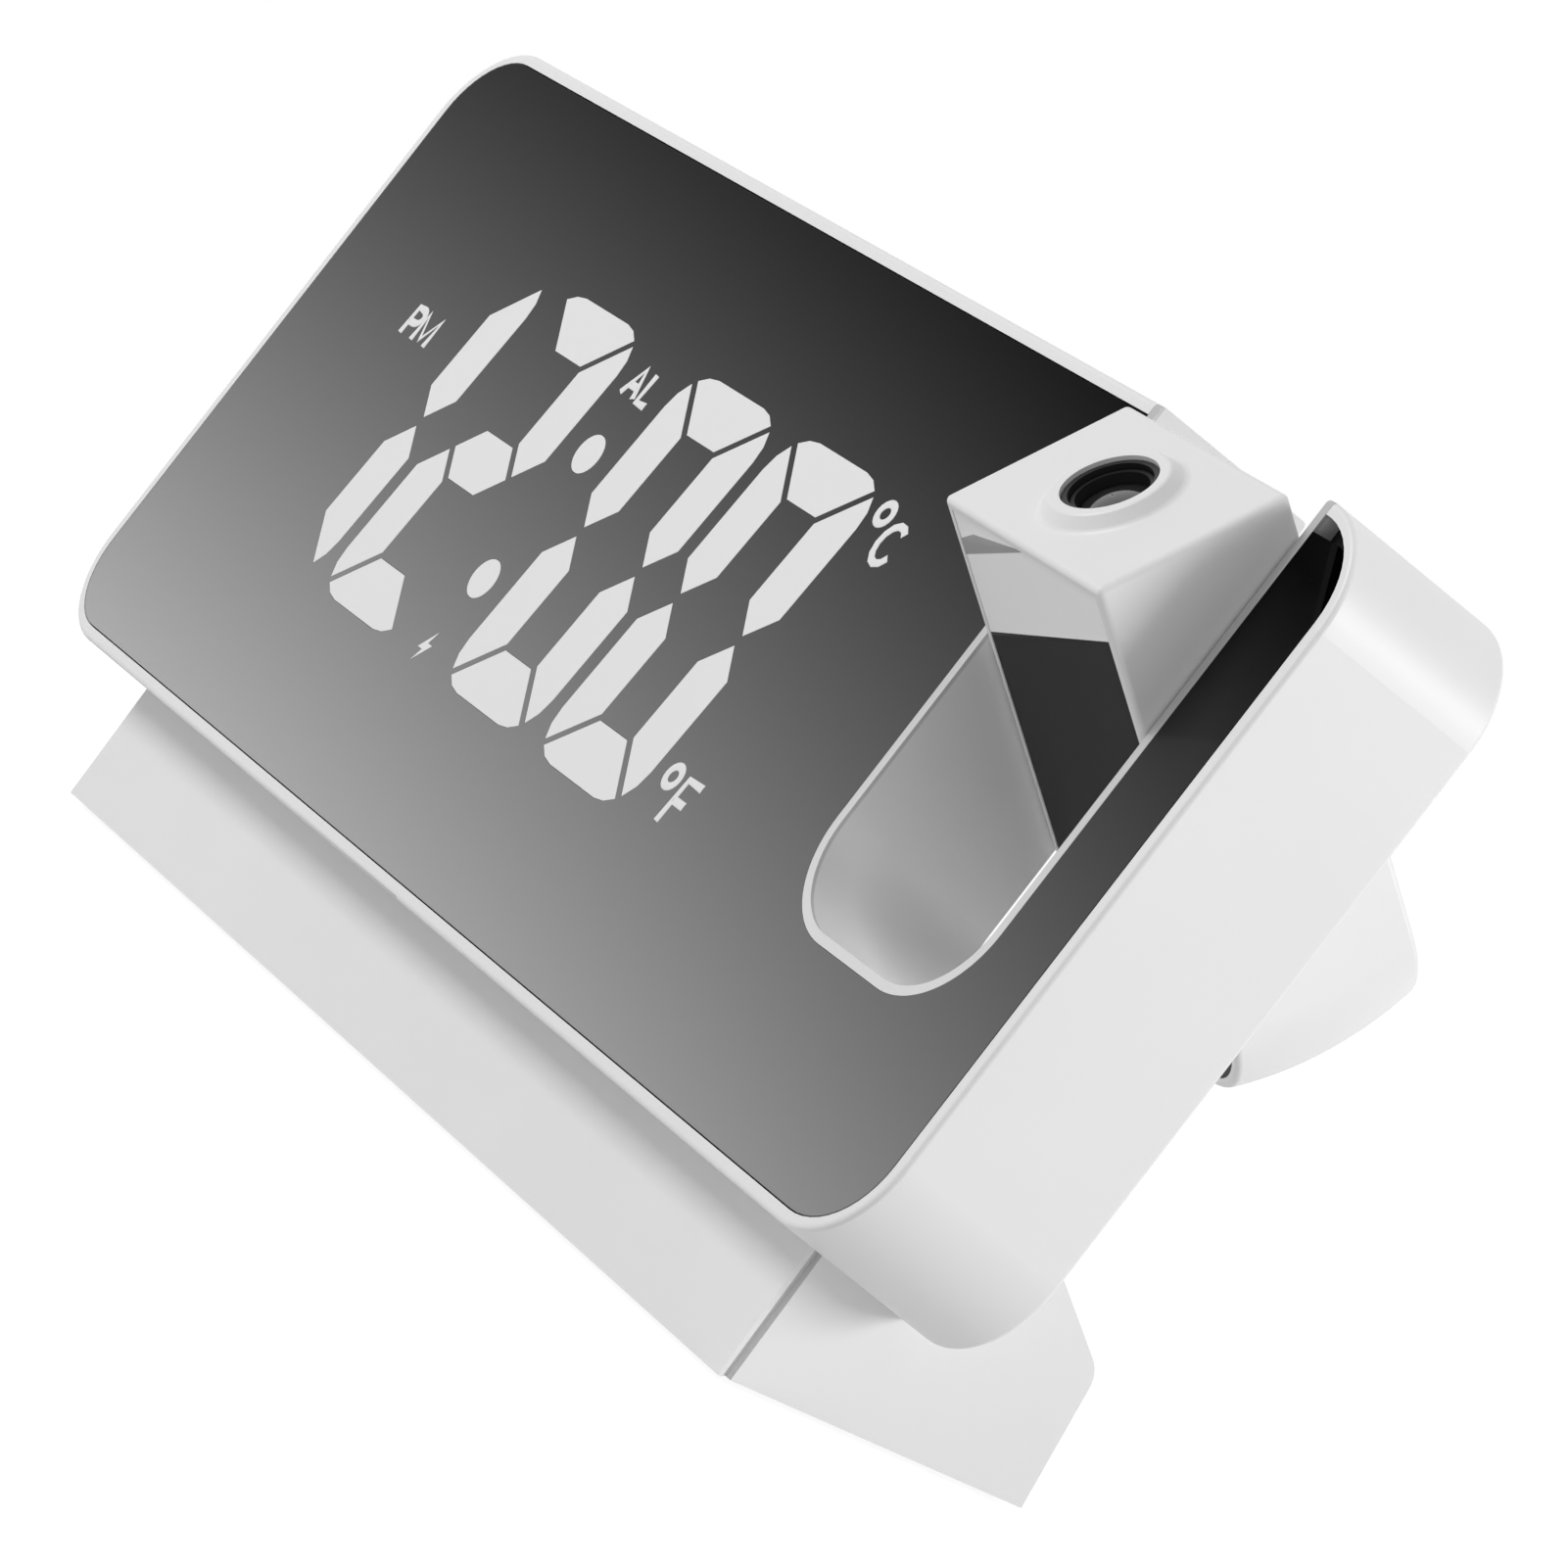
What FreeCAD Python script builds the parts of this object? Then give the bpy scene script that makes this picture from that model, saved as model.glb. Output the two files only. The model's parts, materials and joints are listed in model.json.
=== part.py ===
import FreeCAD, Part
import math
import os
import re

import Sketcher

# Projection alarm clock: a leaning display case on a wedge base, with a projector arm that
# turns in a slot at the right of the case. Millimetres, +Z up, the display faces -Y, and the
# origin lies on the table in the middle of the front foot strip's underside.

doc = FreeCAD.newDocument("projection_clock")
Vector = FreeCAD.Vector
Rotation = FreeCAD.Rotation
Placement = FreeCAD.Placement

# Driving dimensions

SIZES = {
    # display case, a white sleeve round the mirror panel
    "case_width": 187.0,
    "case_height": 78.0,
    "case_depth": 20.0,
    "case_corner": 10.3,
    "case_wall": 1.85,
    "case_draft": 1.5,
    "case_edge": 0.5,
    "lean_angle": 10.0,
    "rest_height": 15.0,
    "ledge_width": 2.4,
    "ledge_thickness": 1.5,
    "gasket_thickness": 0.35,
    "panel_thickness": 2.0,
    "panel_gap": 0.15,
    "relief_drop": 1.7,
    "relief_side_drop": 7.6,
    "relief_inset": 4.0,
    "seat_gap": 0.05,
    # slot for the projector arm
    "recess_inset": 24.05,
    "recess_width": 31.2,
    "recess_wall": 1.0,
    "recess_depth": 36.2,
    "recess_corner": 10.0,
    "pivot_drop": 18.75,
    "pivot_boss_radius": 5.2,
    "pivot_boss_length": 2.0,
    "pivot_radius": 2.95,
    "pivot_clearance": 0.05,
    "wire_hole_radius": 1.6,
    # projector arm
    "arm_clearance": 0.4,
    "arm_thickness": 19.2,
    "arm_above": 20.1,
    "arm_floor_gap": 0.3,
    "arm_tilt": 61.0,
    "arm_wall": 1.6,
    "arm_lip": 1.0,
    "arm_edge": 0.6,
    "arm_mirror_thickness": 1.5,
    "arm_mirror_recess": 0.1,
    "pivot_flange_radius": 4.4,
    "pivot_flange_thickness": 1.0,
    "washer_thickness": 0.3,
    "washer_radius": 4.9,
    "collar_radius": 5.5,
    "collar_height": 1.3,
    "collar_spread": 1.1,
    "collar_blend": 0.8,
    "collar_round": 0.35,
    "collar_bore": 4.5,
    # projector inside the arm
    "focus_clearance": 0.1,
    "focus_wall": 0.5,
    "focus_recess": 0.4,
    "focus_flange_radius": 5.8,
    "focus_flange_thickness": 1.2,
    "lens_cell_wall": 0.4,
    "lens_cell_length": 8.0,
    "lens_cell_recess": 1.0,
    "lens_thickness": 2.4,
    "lens_curve": 7.0,
    "lens_recess": 0.3,
    "projector_width": 13.0,
    "projector_wall": 1.2,
    "projector_bottom": -10.0,
    "projector_top": 13.5,
    "image_plate_thickness": 1.0,
    "image_plate_place": 4.5,
    "condenser_thickness": 2.4,
    "condenser_place": -1.5,
    "condenser_curve": 12.0,
    "led_board_thickness": 1.0,
    "led_size": 3.5,
    "led_thickness": 1.2,
    "rib_thickness": 1.6,
    # numerals
    "digit_width": 19.8,
    "digit_height": 39.2,
    "digit_pitch": 21.9,
    "digit_inset": 21.0,
    "digit_corner": 5.0,
    "digit_slant": 0.08,
    "upright_width": 6.4,
    "bar_width": 6.2,
    "segment_gap": 0.7,
    "mitre_shift": 0.2,
    "colon_space": 8.85,
    "colon_offset": 5.35,
    "colon_radius": 2.3,
    "colon_upper": 6.7,
    "colon_lower": -9.1,
    "segment_fit": 0.05,
    # parts behind the panel
    "mask_thickness": 4.0,
    "guide_depth": 3.1,
    "board_side_inset": 7.15,
    "board_slot_gap": 3.0,
    "board_top_inset": 6.15,
    "board_thickness": 1.6,
    "board_spacing": 4.0,
    "board_screw_inset": 4.0,
    "board_screw_length": 9.5,
    "spacer_radius": 2.4,
    "led_chip": 1.6,
    "led_chip_thickness": 0.8,
    "cover_thickness": 1.8,
    "boss_radius": 3.0,
    "boss_inset": 2.6,
    "boss_side_drop": 13.65,
    "boss_bottom_x": 32.0,
    "boss_top_inset": 21.65,
    "boss_slot_gap": 20.0,
    "base_boss_spacing": 60.0,
    "base_boss_depth": 13.6,
    "base_boss_length": 3.8,
    # screws
    "screw_radius": 1.0,
    "screw_fit": 0.03,
    "screw_hole_gap": 0.15,
    "screw_head_radius": 1.9,
    "screw_head_thickness": 1.0,
    "screw_length": 6.0,
    "slot_width": 0.5,
    "slot_depth": 0.5,
    # buttons at the rear
    "button_radius": 3.2,
    "button_flange": 0.8,
    "button_flange_thickness": 0.7,
    "button_proud": 0.8,
    "button_row": 14.0,
    "button_inset": 27.65,
    "button_pitch": 15.0,
    "button_gap": 0.3,
    "switch_size": 6.0,
    "switch_body": 2.9,
    "plunger_radius": 1.7,
    "plunger_height": 0.25,
    # snooze bar in the top wall
    "snooze_x": -15.0,
    "snooze_y": 10.4,
    "snooze_length": 52.0,
    "snooze_width": 8.0,
    "snooze_sunk": 0.3,
    "snooze_flange": 1.0,
    "snooze_flange_thickness": 0.8,
    "snooze_leg_width": 4.0,
    "snooze_leg_gap": 0.6,
    "snooze_switch_drop": 4.55,
    "snooze_switch_height": 5.6,
    "snooze_switch_depth": 3.5,
    "snooze_plunger_radius": 0.8,
    # rear socket, grille and sounder
    "port_inset": 15.65,
    "port_z": -7.0,
    "port_width": 9.0,
    "port_height": 3.2,
    "port_wall": 0.3,
    "port_floor": 1.0,
    "port_gap": 0.2,
    "tongue_width": 6.4,
    "tongue_height": 0.7,
    "tongue_recess": 1.0,
    "grille_inset": 19.0,
    "grille_z": -6.0,
    "grille_width": 1.2,
    "grille_length": 12.0,
    "grille_pitch": 2.6,
    "buzzer_radius": 6.0,
    "buzzer_height": 4.2,
    "buzzer_mouth": 1.2,
    "chip_size": 8.0,
    "chip_thickness": 1.0,
    "chip_inset": 50.5,
    "chip_z": -10.0,
    "crystal_offset": 12.0,
    "crystal_length": 6.0,
    "crystal_width": 2.0,
    "capacitor_inset": 24.5,
    "capacitor_z": -8.0,
    "capacitor_pitch": 6.5,
    "capacitor_radius": 2.5,
    "capacitor_height": 4.0,
    "header_inset": 41.0,
    "header_drop": 9.0,
    "header_length": 10.0,
    "header_width": 4.0,
    # wedge base
    "base_width": 157.6,
    "base_setback": 7.3,
    "base_toe": -1.5,
    "base_rear": 33.7,
    "base_rear_height": 14.4,
    "base_climb": 16.6,
    "base_round": 3.2,
    "base_wall": 1.8,
    "foot_height": 0.6,
    "foot_length": 140.0,
    "foot_width": 3.0,
    "foot_front_y": 3.4,
    "foot_rear_y": 30.0,
    "front_cover_thickness": 0.5,
    "groove_width": 0.9,
    "groove_depth": 0.9,
    "base_plate_thickness": 1.8,
    "plate_screw_x": 74.0,
    "plate_screw_front": 6.5,
    "plate_screw_rear": 27.5,
    "post_radius": 2.6,
    # coin cell in the base
    "cell_radius": 10.0,
    "cell_thickness": 3.2,
    "cell_x": -38.0,
    "cell_y": 16.1,
    "cell_gap": 0.3,
    "holder_wall": 1.4,
    "holder_roof": 1.2,
    "contact_thickness": 0.15,
    "contact_width": 2.0,
    "contact_length": 12.0,
    "door_thickness": 1.7,
    "door_length": 32.0,
    "door_width": 22.0,
    "door_corner": 2.0,
    "door_offset": 2.0,
    "door_screw_offset": 14.3,
}

sheet = doc.addObject("Spreadsheet::Sheet", "Sizes")
for row, (alias, number) in enumerate(SIZES.items(), start=1):
    sheet.set(f"A{row}", alias)
    sheet.set(f"B{row}", str(number))
    sheet.setAlias(f"B{row}", alias)
doc.recompute()


def size(alias):
    """A driving dimension as the sheet holds it."""
    return float(getattr(sheet, alias))


def formula(text):
    """An expression for the document: bare names of sizes point to the sheet."""
    return re.sub(r"[a-z_]+", lambda m: "Sizes." + m[0] if m[0] in SIZES else m[0], str(text))


def bind(item, prop, text):
    item.setExpression(prop, formula(text))


# Places shared by several pieces, as expressions in the case's own frame: x to the right,
# y back from the front of the mirror panel, z up along the display from its middle

OPENING_SIDE = "(case_width / 2 - case_wall)"
OPENING_TOP = "(case_height / 2 - case_wall)"
OPENING_CORNER = "(case_corner - case_wall)"
LEDGE_FRONT = "(panel_thickness + gasket_thickness + 2 * seat_gap)"
LEDGE_BACK = f"({LEDGE_FRONT} + ledge_thickness)"
PANEL_SIDE = f"({OPENING_SIDE} - panel_gap)"
PANEL_TOP = f"({OPENING_TOP} - panel_gap)"
PANEL_CORNER = f"({OPENING_CORNER} - panel_gap)"
RECESS_X = f"({OPENING_SIDE} - recess_inset)"
RECESS_LEFT = f"({RECESS_X} - recess_width / 2)"
RECESS_RIGHT = f"({RECESS_X} + recess_width / 2)"
PIVOT_HEIGHT = f"({OPENING_TOP} - pivot_drop)"
RECESS_BOTTOM = f"({PIVOT_HEIGHT} - recess_depth)"
PIVOT_BORE = "(pivot_radius + pivot_clearance)"
MASK_FRONT = "(panel_thickness + seat_gap)"
MASK_BACK = f"({MASK_FRONT} + mask_thickness)"
DISPLAY_BOARD_FRONT = f"({MASK_BACK} + seat_gap)"
DISPLAY_BOARD_BACK = f"({DISPLAY_BOARD_FRONT} + board_thickness)"
MAIN_BOARD_FRONT = f"({DISPLAY_BOARD_BACK} + board_spacing + 2 * seat_gap)"
MAIN_BOARD_BACK = f"({MAIN_BOARD_FRONT} + board_thickness)"
SOLDERED = f"({MAIN_BOARD_BACK} + seat_gap)"
SCREW_TIP = f"({MAIN_BOARD_BACK} - board_screw_length)"
BOARD_LEFT = f"(board_side_inset - {OPENING_SIDE})"
BOARD_RIGHT = f"({RECESS_LEFT} - board_slot_gap)"
BOARD_HALF = f"({OPENING_TOP} - board_top_inset)"
CAPACITOR_X = f"({BOARD_LEFT} + capacitor_inset)"
CHIP_X = f"({BOARD_LEFT} + chip_inset)"
HEADER_X = f"({BOARD_RIGHT} - header_inset)"
HEADER_Z = f"({BOARD_HALF} - header_drop)"
GRILLE_X = f"({BOARD_RIGHT} - grille_inset)"
PORT_X = f"(port_inset - {OPENING_SIDE})"
SNOOZE_SWITCH_TOP = f"({OPENING_TOP} - snooze_switch_drop)"
COVER_FRONT = "(case_depth - cover_thickness)"
BOSS_BACK = f"({COVER_FRONT} - seat_gap)"
FLANGE_BACK = f"({COVER_FRONT} - button_gap)"
PILOT = "(screw_radius + screw_fit)"
SCREW_HOLE = "(screw_radius + screw_hole_gap)"
HEAD_HOLE = "(screw_head_radius + screw_hole_gap)"
SIN = "sin(lean_angle * 1 deg)"
COS = "cos(lean_angle * 1 deg)"
DISPLAY_HEIGHT = f"(rest_height + case_height / 2 * {COS})"
HALF_ARM = "(recess_width / 2 - recess_wall - arm_clearance)"
ARM_CORNER = "(recess_corner - recess_wall - arm_clearance)"
HALF_THICK = "(arm_thickness / 2)"
TAIL_RADIUS = "(recess_depth - recess_wall - arm_floor_gap)"
TAIL_EDGE = f"sqrt({TAIL_RADIUS} ^ 2 - {HALF_THICK} ^ 2)"

BOSS_SIDE = f"({OPENING_SIDE} - boss_inset)"
BOSS_TOP = f"({OPENING_TOP} - boss_inset)"
COVER_SCREWS = [
    (f"-{BOSS_SIDE}", f"({OPENING_TOP} - boss_side_drop)"),
    (f"-{BOSS_SIDE}", f"(boss_side_drop - {OPENING_TOP})"),
    (BOSS_SIDE, f"({OPENING_TOP} - boss_side_drop)"),
    (BOSS_SIDE, f"(boss_side_drop - {OPENING_TOP})"),
    ("-boss_bottom_x", f"-{BOSS_TOP}"),
    ("boss_bottom_x", f"-{BOSS_TOP}"),
    (f"(boss_top_inset - {OPENING_SIDE})", BOSS_TOP),
    (f"({RECESS_LEFT} - boss_slot_gap)", BOSS_TOP),
]
BOARD_SCREWS = [
    (x, z)
    for x in (f"{BOARD_LEFT} + board_screw_inset", f"{BOARD_RIGHT} - board_screw_inset")
    for z in (f"board_screw_inset - {BOARD_HALF}", f"{BOARD_HALF} - board_screw_inset")
]
CASE_SCREWS = ["-base_boss_spacing", "0", "base_boss_spacing"]
BUTTONS = ["mode", "alarm", "up", "down", "projection"]


def button_x(index):
    return f"(button_inset - {OPENING_SIDE} + {index} * button_pitch)"


def tilted(back, up):
    """The (y, z) over the table of a point given in the case's frame."""
    y = f"(({back}) * {COS} + ({up}) * {SIN})"
    z = f"({DISPLAY_HEIGHT} + ({up}) * {COS} - ({back}) * {SIN})"
    return y, z


TABLE_PLACE = Placement(Vector(0, -size("foot_front_y"), 0), Rotation())
half_height = size("case_height") / 2
LEAN_PLACE = Placement(
    Vector(0, 0, size("rest_height") + half_height * math.cos(math.radians(size("lean_angle")))),
    Rotation(Vector(1, 0, 0), -size("lean_angle")),
)
CASE_PLACE = TABLE_PLACE * LEAN_PLACE
ARM_PLACE = CASE_PLACE * Placement(
    Vector(
        size("case_width") / 2 - size("case_wall") - size("recess_inset"),
        size("arm_thickness") / 2,
        half_height - size("case_wall") - size("pivot_drop"),
    ),
    Rotation(Vector(1, 0, 0), size("arm_tilt")),
)

# Solid helpers: every size and place is an expression

AXES = {
    "X": Rotation(Vector(0, 1, 0), 90),
    "Y": Rotation(Vector(1, 0, 0), -90),
    "Z": Rotation(),
}
pieces = []


def finish(item, label, place):
    """Names a finished piece and puts it where it belongs in the clock."""
    item.Label = label
    item.Placement = place
    pieces.append(item)
    return item


def set_place(item, x, y, z, rotation=None):
    if rotation is not None:
        item.Placement = Placement(Vector(), rotation)
    bind(item, "Placement.Base.x", x)
    bind(item, "Placement.Base.y", y)
    bind(item, "Placement.Base.z", z)
    return item


def box(name, low, high, body=None):
    """A box between two corners, loose or as a feature of a body."""
    if body is None:
        item = doc.addObject("Part::Box", name)
    else:
        item = body.newObject("PartDesign::AdditiveBox", name)
    for prop, start, end in zip(("Length", "Width", "Height"), low, high):
        bind(item, prop, f"({end}) - ({start})")
    return set_place(item, *low)


def cylinder(name, axis, start, radius, length):
    """A cylinder that starts at a point and runs along +X, +Y or +Z."""
    item = doc.addObject("Part::Cylinder", name)
    bind(item, "Radius", radius)
    bind(item, "Height", length)
    return set_place(item, *start, rotation=AXES[axis])


def group(name, members):
    item = doc.addObject("Part::Compound", name)
    item.Links = members
    return item


def fuse(name, members):
    item = doc.addObject("Part::MultiFuse", name)
    item.Shapes = members
    return item


def common(name, members):
    item = doc.addObject("Part::MultiCommon", name)
    item.Shapes = members
    return item


def cut(name, base, tools):
    """The base less one or more tools."""
    item = doc.addObject("Part::Cut", name)
    item.Base = base
    item.Tool = tools[0] if len(tools) == 1 else fuse(name + "_tools", tools)
    return item


def tube(name, axis, start, radius, bore, length):
    outer = cylinder(name + "_outer", axis, start, radius, length)
    inner_start = list(start)
    index = "XYZ".index(axis)
    inner_start[index] = f"({start[index]}) - 1"
    inner = cylinder(name + "_bore", axis, inner_start, bore, f"({length}) + 2")
    return cut(name, outer, [inner])


def along(axis):
    """Test for straight edges that run mostly along X, Y or Z."""
    index = "XYZ".index(axis)

    def test(edge):
        if len(edge.Vertexes) != 2:
            return False
        step = edge.Vertexes[1].Point - edge.Vertexes[0].Point
        return abs(step[index]) > 0.99 * edge.Length

    return test


def centre(edge):
    return edge.valueAt((edge.FirstParameter + edge.LastParameter) / 2)


def fillet(body, name, test, radius):
    """Rounds the edges of the body's tip that pass the test."""
    doc.recompute()
    base = body.Tip
    names = [f"Edge{i}" for i, edge in enumerate(base.Shape.Edges, start=1) if test(edge)]
    item = body.newObject("PartDesign::Fillet", name)
    item.Base = (base, names)
    bind(item, "Radius", radius)
    doc.recompute()
    return item


def rounded_block(name, axis, low, high, radius, bottom_only=False):
    """A box whose edges along one axis are rounded, or only the lower ones."""
    body = doc.addObject("PartDesign::Body", name)
    box(name + "_block", low, high, body)
    doc.recompute()
    run = along(axis)
    middle = body.Shape.BoundBox.Center.z

    def chosen(edge):
        return run(edge) and (not bottom_only or centre(edge).z < middle)

    fillet(body, name + "_corners", chosen, radius)
    return body


SKETCH_START = 20.0


def polygon(sketch, points):
    """A closed outline through points given as pairs of expressions."""
    count = len(points)
    places = [2 * math.pi * i / count for i in range(count + 1)]
    corners = [
        Vector(SKETCH_START * math.cos(turn), SKETCH_START * math.sin(turn), 0) for turn in places
    ]
    for start, end in zip(corners, corners[1:]):
        sketch.addGeometry(Part.LineSegment(start, end), False)
    for i in range(count):
        sketch.addConstraint(Sketcher.Constraint("Coincident", i, 2, (i + 1) % count, 1))
    for i, point in enumerate(points):
        for kind, text in zip(("DistanceX", "DistanceY"), point):
            index = sketch.addConstraint(Sketcher.Constraint(kind, -1, 1, i, 1, 10.0))
            bind(sketch, f"Constraints[{index}]", text)
    return sketch


PLANES = {
    "front": (Rotation(Vector(1, 0, 0), 90), Vector(0, 1, 0)),
    "side": (Rotation(Vector(1, 1, 1), 120), Vector(1, 0, 0)),
}


def outline(name, plane, points):
    """A loose closed outline seen from the front (x, z) or from the side (y, z)."""
    sketch = doc.addObject("Sketcher::SketchObject", name)
    sketch.Placement = Placement(Vector(), PLANES[plane][0])
    return polygon(sketch, points)


def extrude(name, plane, sketch, start, end):
    """A prism from an outline, between two places on the axis square to its plane."""
    item = doc.addObject("Part::Extrusion", name)
    item.Base = sketch
    item.DirMode = "Custom"
    item.Dir = PLANES[plane][1]
    item.Solid = True
    bind(item, "LengthFwd", end)
    bind(item, "LengthRev", f"-({start})")
    return item


def prism(name, plane, points, start, end):
    return extrude(name, plane, outline(name + "_outline", plane, points), start, end)


def lens(name, place, radius, thickness, curve):
    """A lens on the z axis, bulging by the same curve on both sides, centred at z = place."""
    upper = doc.addObject("Part::Sphere", name + "_upper")
    lower = doc.addObject("Part::Sphere", name + "_lower")
    for ball, sign in ((upper, "-"), (lower, "+")):
        bind(ball, "Radius", curve)
        bind(ball, "Placement.Base.z", f"({place}) {sign} (({curve}) - ({thickness}) / 2)")
    rim = cylinder(name + "_rim", "Z", ("0", "0", f"({place}) - ({thickness}) / 2"),
                   radius, thickness)
    return common(name, [upper, lower, rim])


def screw(name, axis, seat, head_low):
    """A pan-head screw whose head rests at seat, below its shank or above it along the axis."""
    index = "XYZ".index(axis)
    shank = list(seat)
    head = list(seat)
    low = [f"({value}) - slot_width / 2" for value in seat]
    high = [f"({value}) + slot_width / 2" for value in seat]
    wide = (index + 1) % 3
    low[wide] = f"({seat[wide]}) - screw_head_radius - 1"
    high[wide] = f"({seat[wide]}) + screw_head_radius + 1"
    if head_low:
        head[index] = f"({seat[index]}) - screw_head_thickness"
        low[index] = f"({seat[index]}) - screw_head_thickness - 1"
        high[index] = f"({seat[index]}) - screw_head_thickness + slot_depth"
    else:
        shank[index] = f"({seat[index]}) - screw_length"
        low[index] = f"({seat[index]}) + screw_head_thickness - slot_depth"
        high[index] = f"({seat[index]}) + screw_head_thickness + 1"
    blank = fuse(name + "_blank", [
        cylinder(name + "_shank", axis, shank, "screw_radius", "screw_length"),
        cylinder(name + "_head", axis, head, "screw_head_radius", "screw_head_thickness"),
    ])
    return cut(name, blank, [box(name + "_slot", low, high)])


def base_sketch(body, name, role):
    """An empty sketch on one of the body's own planes."""
    sketch = body.newObject("Sketcher::SketchObject", name)
    plane = [f for f in body.Origin.OriginFeatures if f.Role == role][0]
    sketch.AttachmentSupport = [(plane, "")]
    sketch.MapMode = "FlatFace"
    return sketch


# The case's outer form, a drafted rounded box that is wider at the rear

envelope = doc.addObject("PartDesign::Body", "case_envelope")
case_outline = base_sketch(envelope, "case_outline", "XZ_Plane")
bind(case_outline, "AttachmentOffset.Base.z", "-case_depth")
polygon(case_outline, [
    ("-case_width / 2", "-case_height / 2"),
    ("case_width / 2", "-case_height / 2"),
    ("case_width / 2", "case_height / 2"),
    ("-case_width / 2", "case_height / 2"),
])
case_pad = envelope.newObject("PartDesign::Pad", "case_pad")
case_pad.Profile = case_outline
bind(case_pad, "Length", "case_depth")
bind(case_pad, "TaperAngle", "-case_draft")
fillet(envelope, "case_corners", along("Y"), "case_corner")
fillet(envelope, "case_front_edge", lambda edge: abs(centre(edge).y) < 0.01, "case_edge")
fillet(envelope, "case_rear_edge",
       lambda edge: abs(centre(edge).y - size("case_depth")) < 0.01, "case_edge")


def opening_block(name, front, back, inset):
    """The case's opening as a block, drawn in by an inset on all four sides."""
    side = f"({OPENING_SIDE} - ({inset}))"
    top = f"({OPENING_TOP} - ({inset}))"
    return rounded_block(name, "Y", (f"-{side}", front, f"-{top}"), (side, back, top),
                         f"{OPENING_CORNER} - ({inset})")


def slot_block(name, front, back, grow):
    """The slot's outer U, open at the top, grown on all sides."""
    return rounded_block(
        name, "Y",
        (f"{RECESS_LEFT} - ({grow})", front, f"{RECESS_BOTTOM} - ({grow})"),
        (f"{RECESS_RIGHT} + ({grow})", back, "case_height"),
        f"recess_corner + ({grow})", bottom_only=True,
    )


# Front housing: the white sleeve, with a ledge for the panel and bosses for the screws

def make_front_housing():
    hollow = [
        opening_block("panel_seat", "-1", LEDGE_FRONT, "0"),
        opening_block("ledge_window", "-2", f"{LEDGE_BACK} + 1", "ledge_width"),
        opening_block("case_cavity", LEDGE_BACK, "case_depth + 1", "0"),
    ]
    solids = [cut("sleeve", envelope, hollow)]
    holes = []
    for i, (x, z) in enumerate(COVER_SCREWS):
        solids.append(cylinder(f"cover_boss_{i}", "Y", (x, f"{LEDGE_BACK} - 0.5", z),
                               "boss_radius", f"{BOSS_BACK} - {LEDGE_BACK} + 0.5"))
        holes.append(cylinder(f"cover_pilot_{i}", "Y", (x, f"{BOSS_BACK} - screw_length", z),
                              PILOT, "screw_length + 1"))
    for i, x in enumerate(CASE_SCREWS):
        solids.append(cylinder(f"base_boss_{i}", "Z", (x, "base_boss_depth", f"-{OPENING_TOP} - 0.3"),
                               "boss_radius", "base_boss_length + 0.3"))
        holes.append(cylinder(f"base_pilot_{i}", "Z", (x, "base_boss_depth", "-case_height / 2 - 1"),
                              PILOT, "case_wall + base_boss_length + 2"))
    holes.append(box("arm_slot", (f"{RECESS_LEFT} - seat_gap", "-1", PIVOT_HEIGHT),
                     (f"{RECESS_RIGHT} + seat_gap", "case_depth + 1", "case_height")))
    holes.append(box(
        "snooze_window",
        ("snooze_x - snooze_length / 2 - button_gap", "snooze_y - snooze_width / 2 - button_gap",
         f"{OPENING_TOP} - 1"),
        ("snooze_x + snooze_length / 2 + button_gap", "snooze_y + snooze_width / 2 + button_gap",
         "case_height"),
    ))
    solid = cut("housing_solid", fuse("housing_blank", solids), holes)
    finish(solid, "front_housing", CASE_PLACE)


# Arm recess frame: the U-shaped liner of the slot, with a bore on each side for the pivots

def make_arm_recess_frame():
    outer = common("frame_blank", [slot_block("frame_outer", "0", "case_depth", "0"), envelope])
    inner = rounded_block(
        "frame_inner", "Y",
        (f"{RECESS_LEFT} + recess_wall", "-1", f"{RECESS_BOTTOM} + recess_wall"),
        (f"{RECESS_RIGHT} - recess_wall", "case_depth + 1", "case_height"),
        "recess_corner - recess_wall", bottom_only=True,
    )
    bosses = cylinder("frame_bosses", "X",
                      (f"{RECESS_LEFT} - pivot_boss_length", HALF_THICK, PIVOT_HEIGHT),
                      "pivot_boss_radius", "recess_width + 2 * pivot_boss_length")
    bore = cylinder("frame_bore", "X",
                    (f"{RECESS_LEFT} - pivot_boss_length - 1", HALF_THICK, PIVOT_HEIGHT),
                    PIVOT_BORE, "recess_width + 2 * pivot_boss_length + 2")
    solid = cut("frame_solid", fuse("frame_walls", [outer, bosses]), [inner, bore])
    finish(solid, "arm_recess_frame", CASE_PLACE)


# Numerals: seven segments in a leaning cell, mitred at the corners

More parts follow.
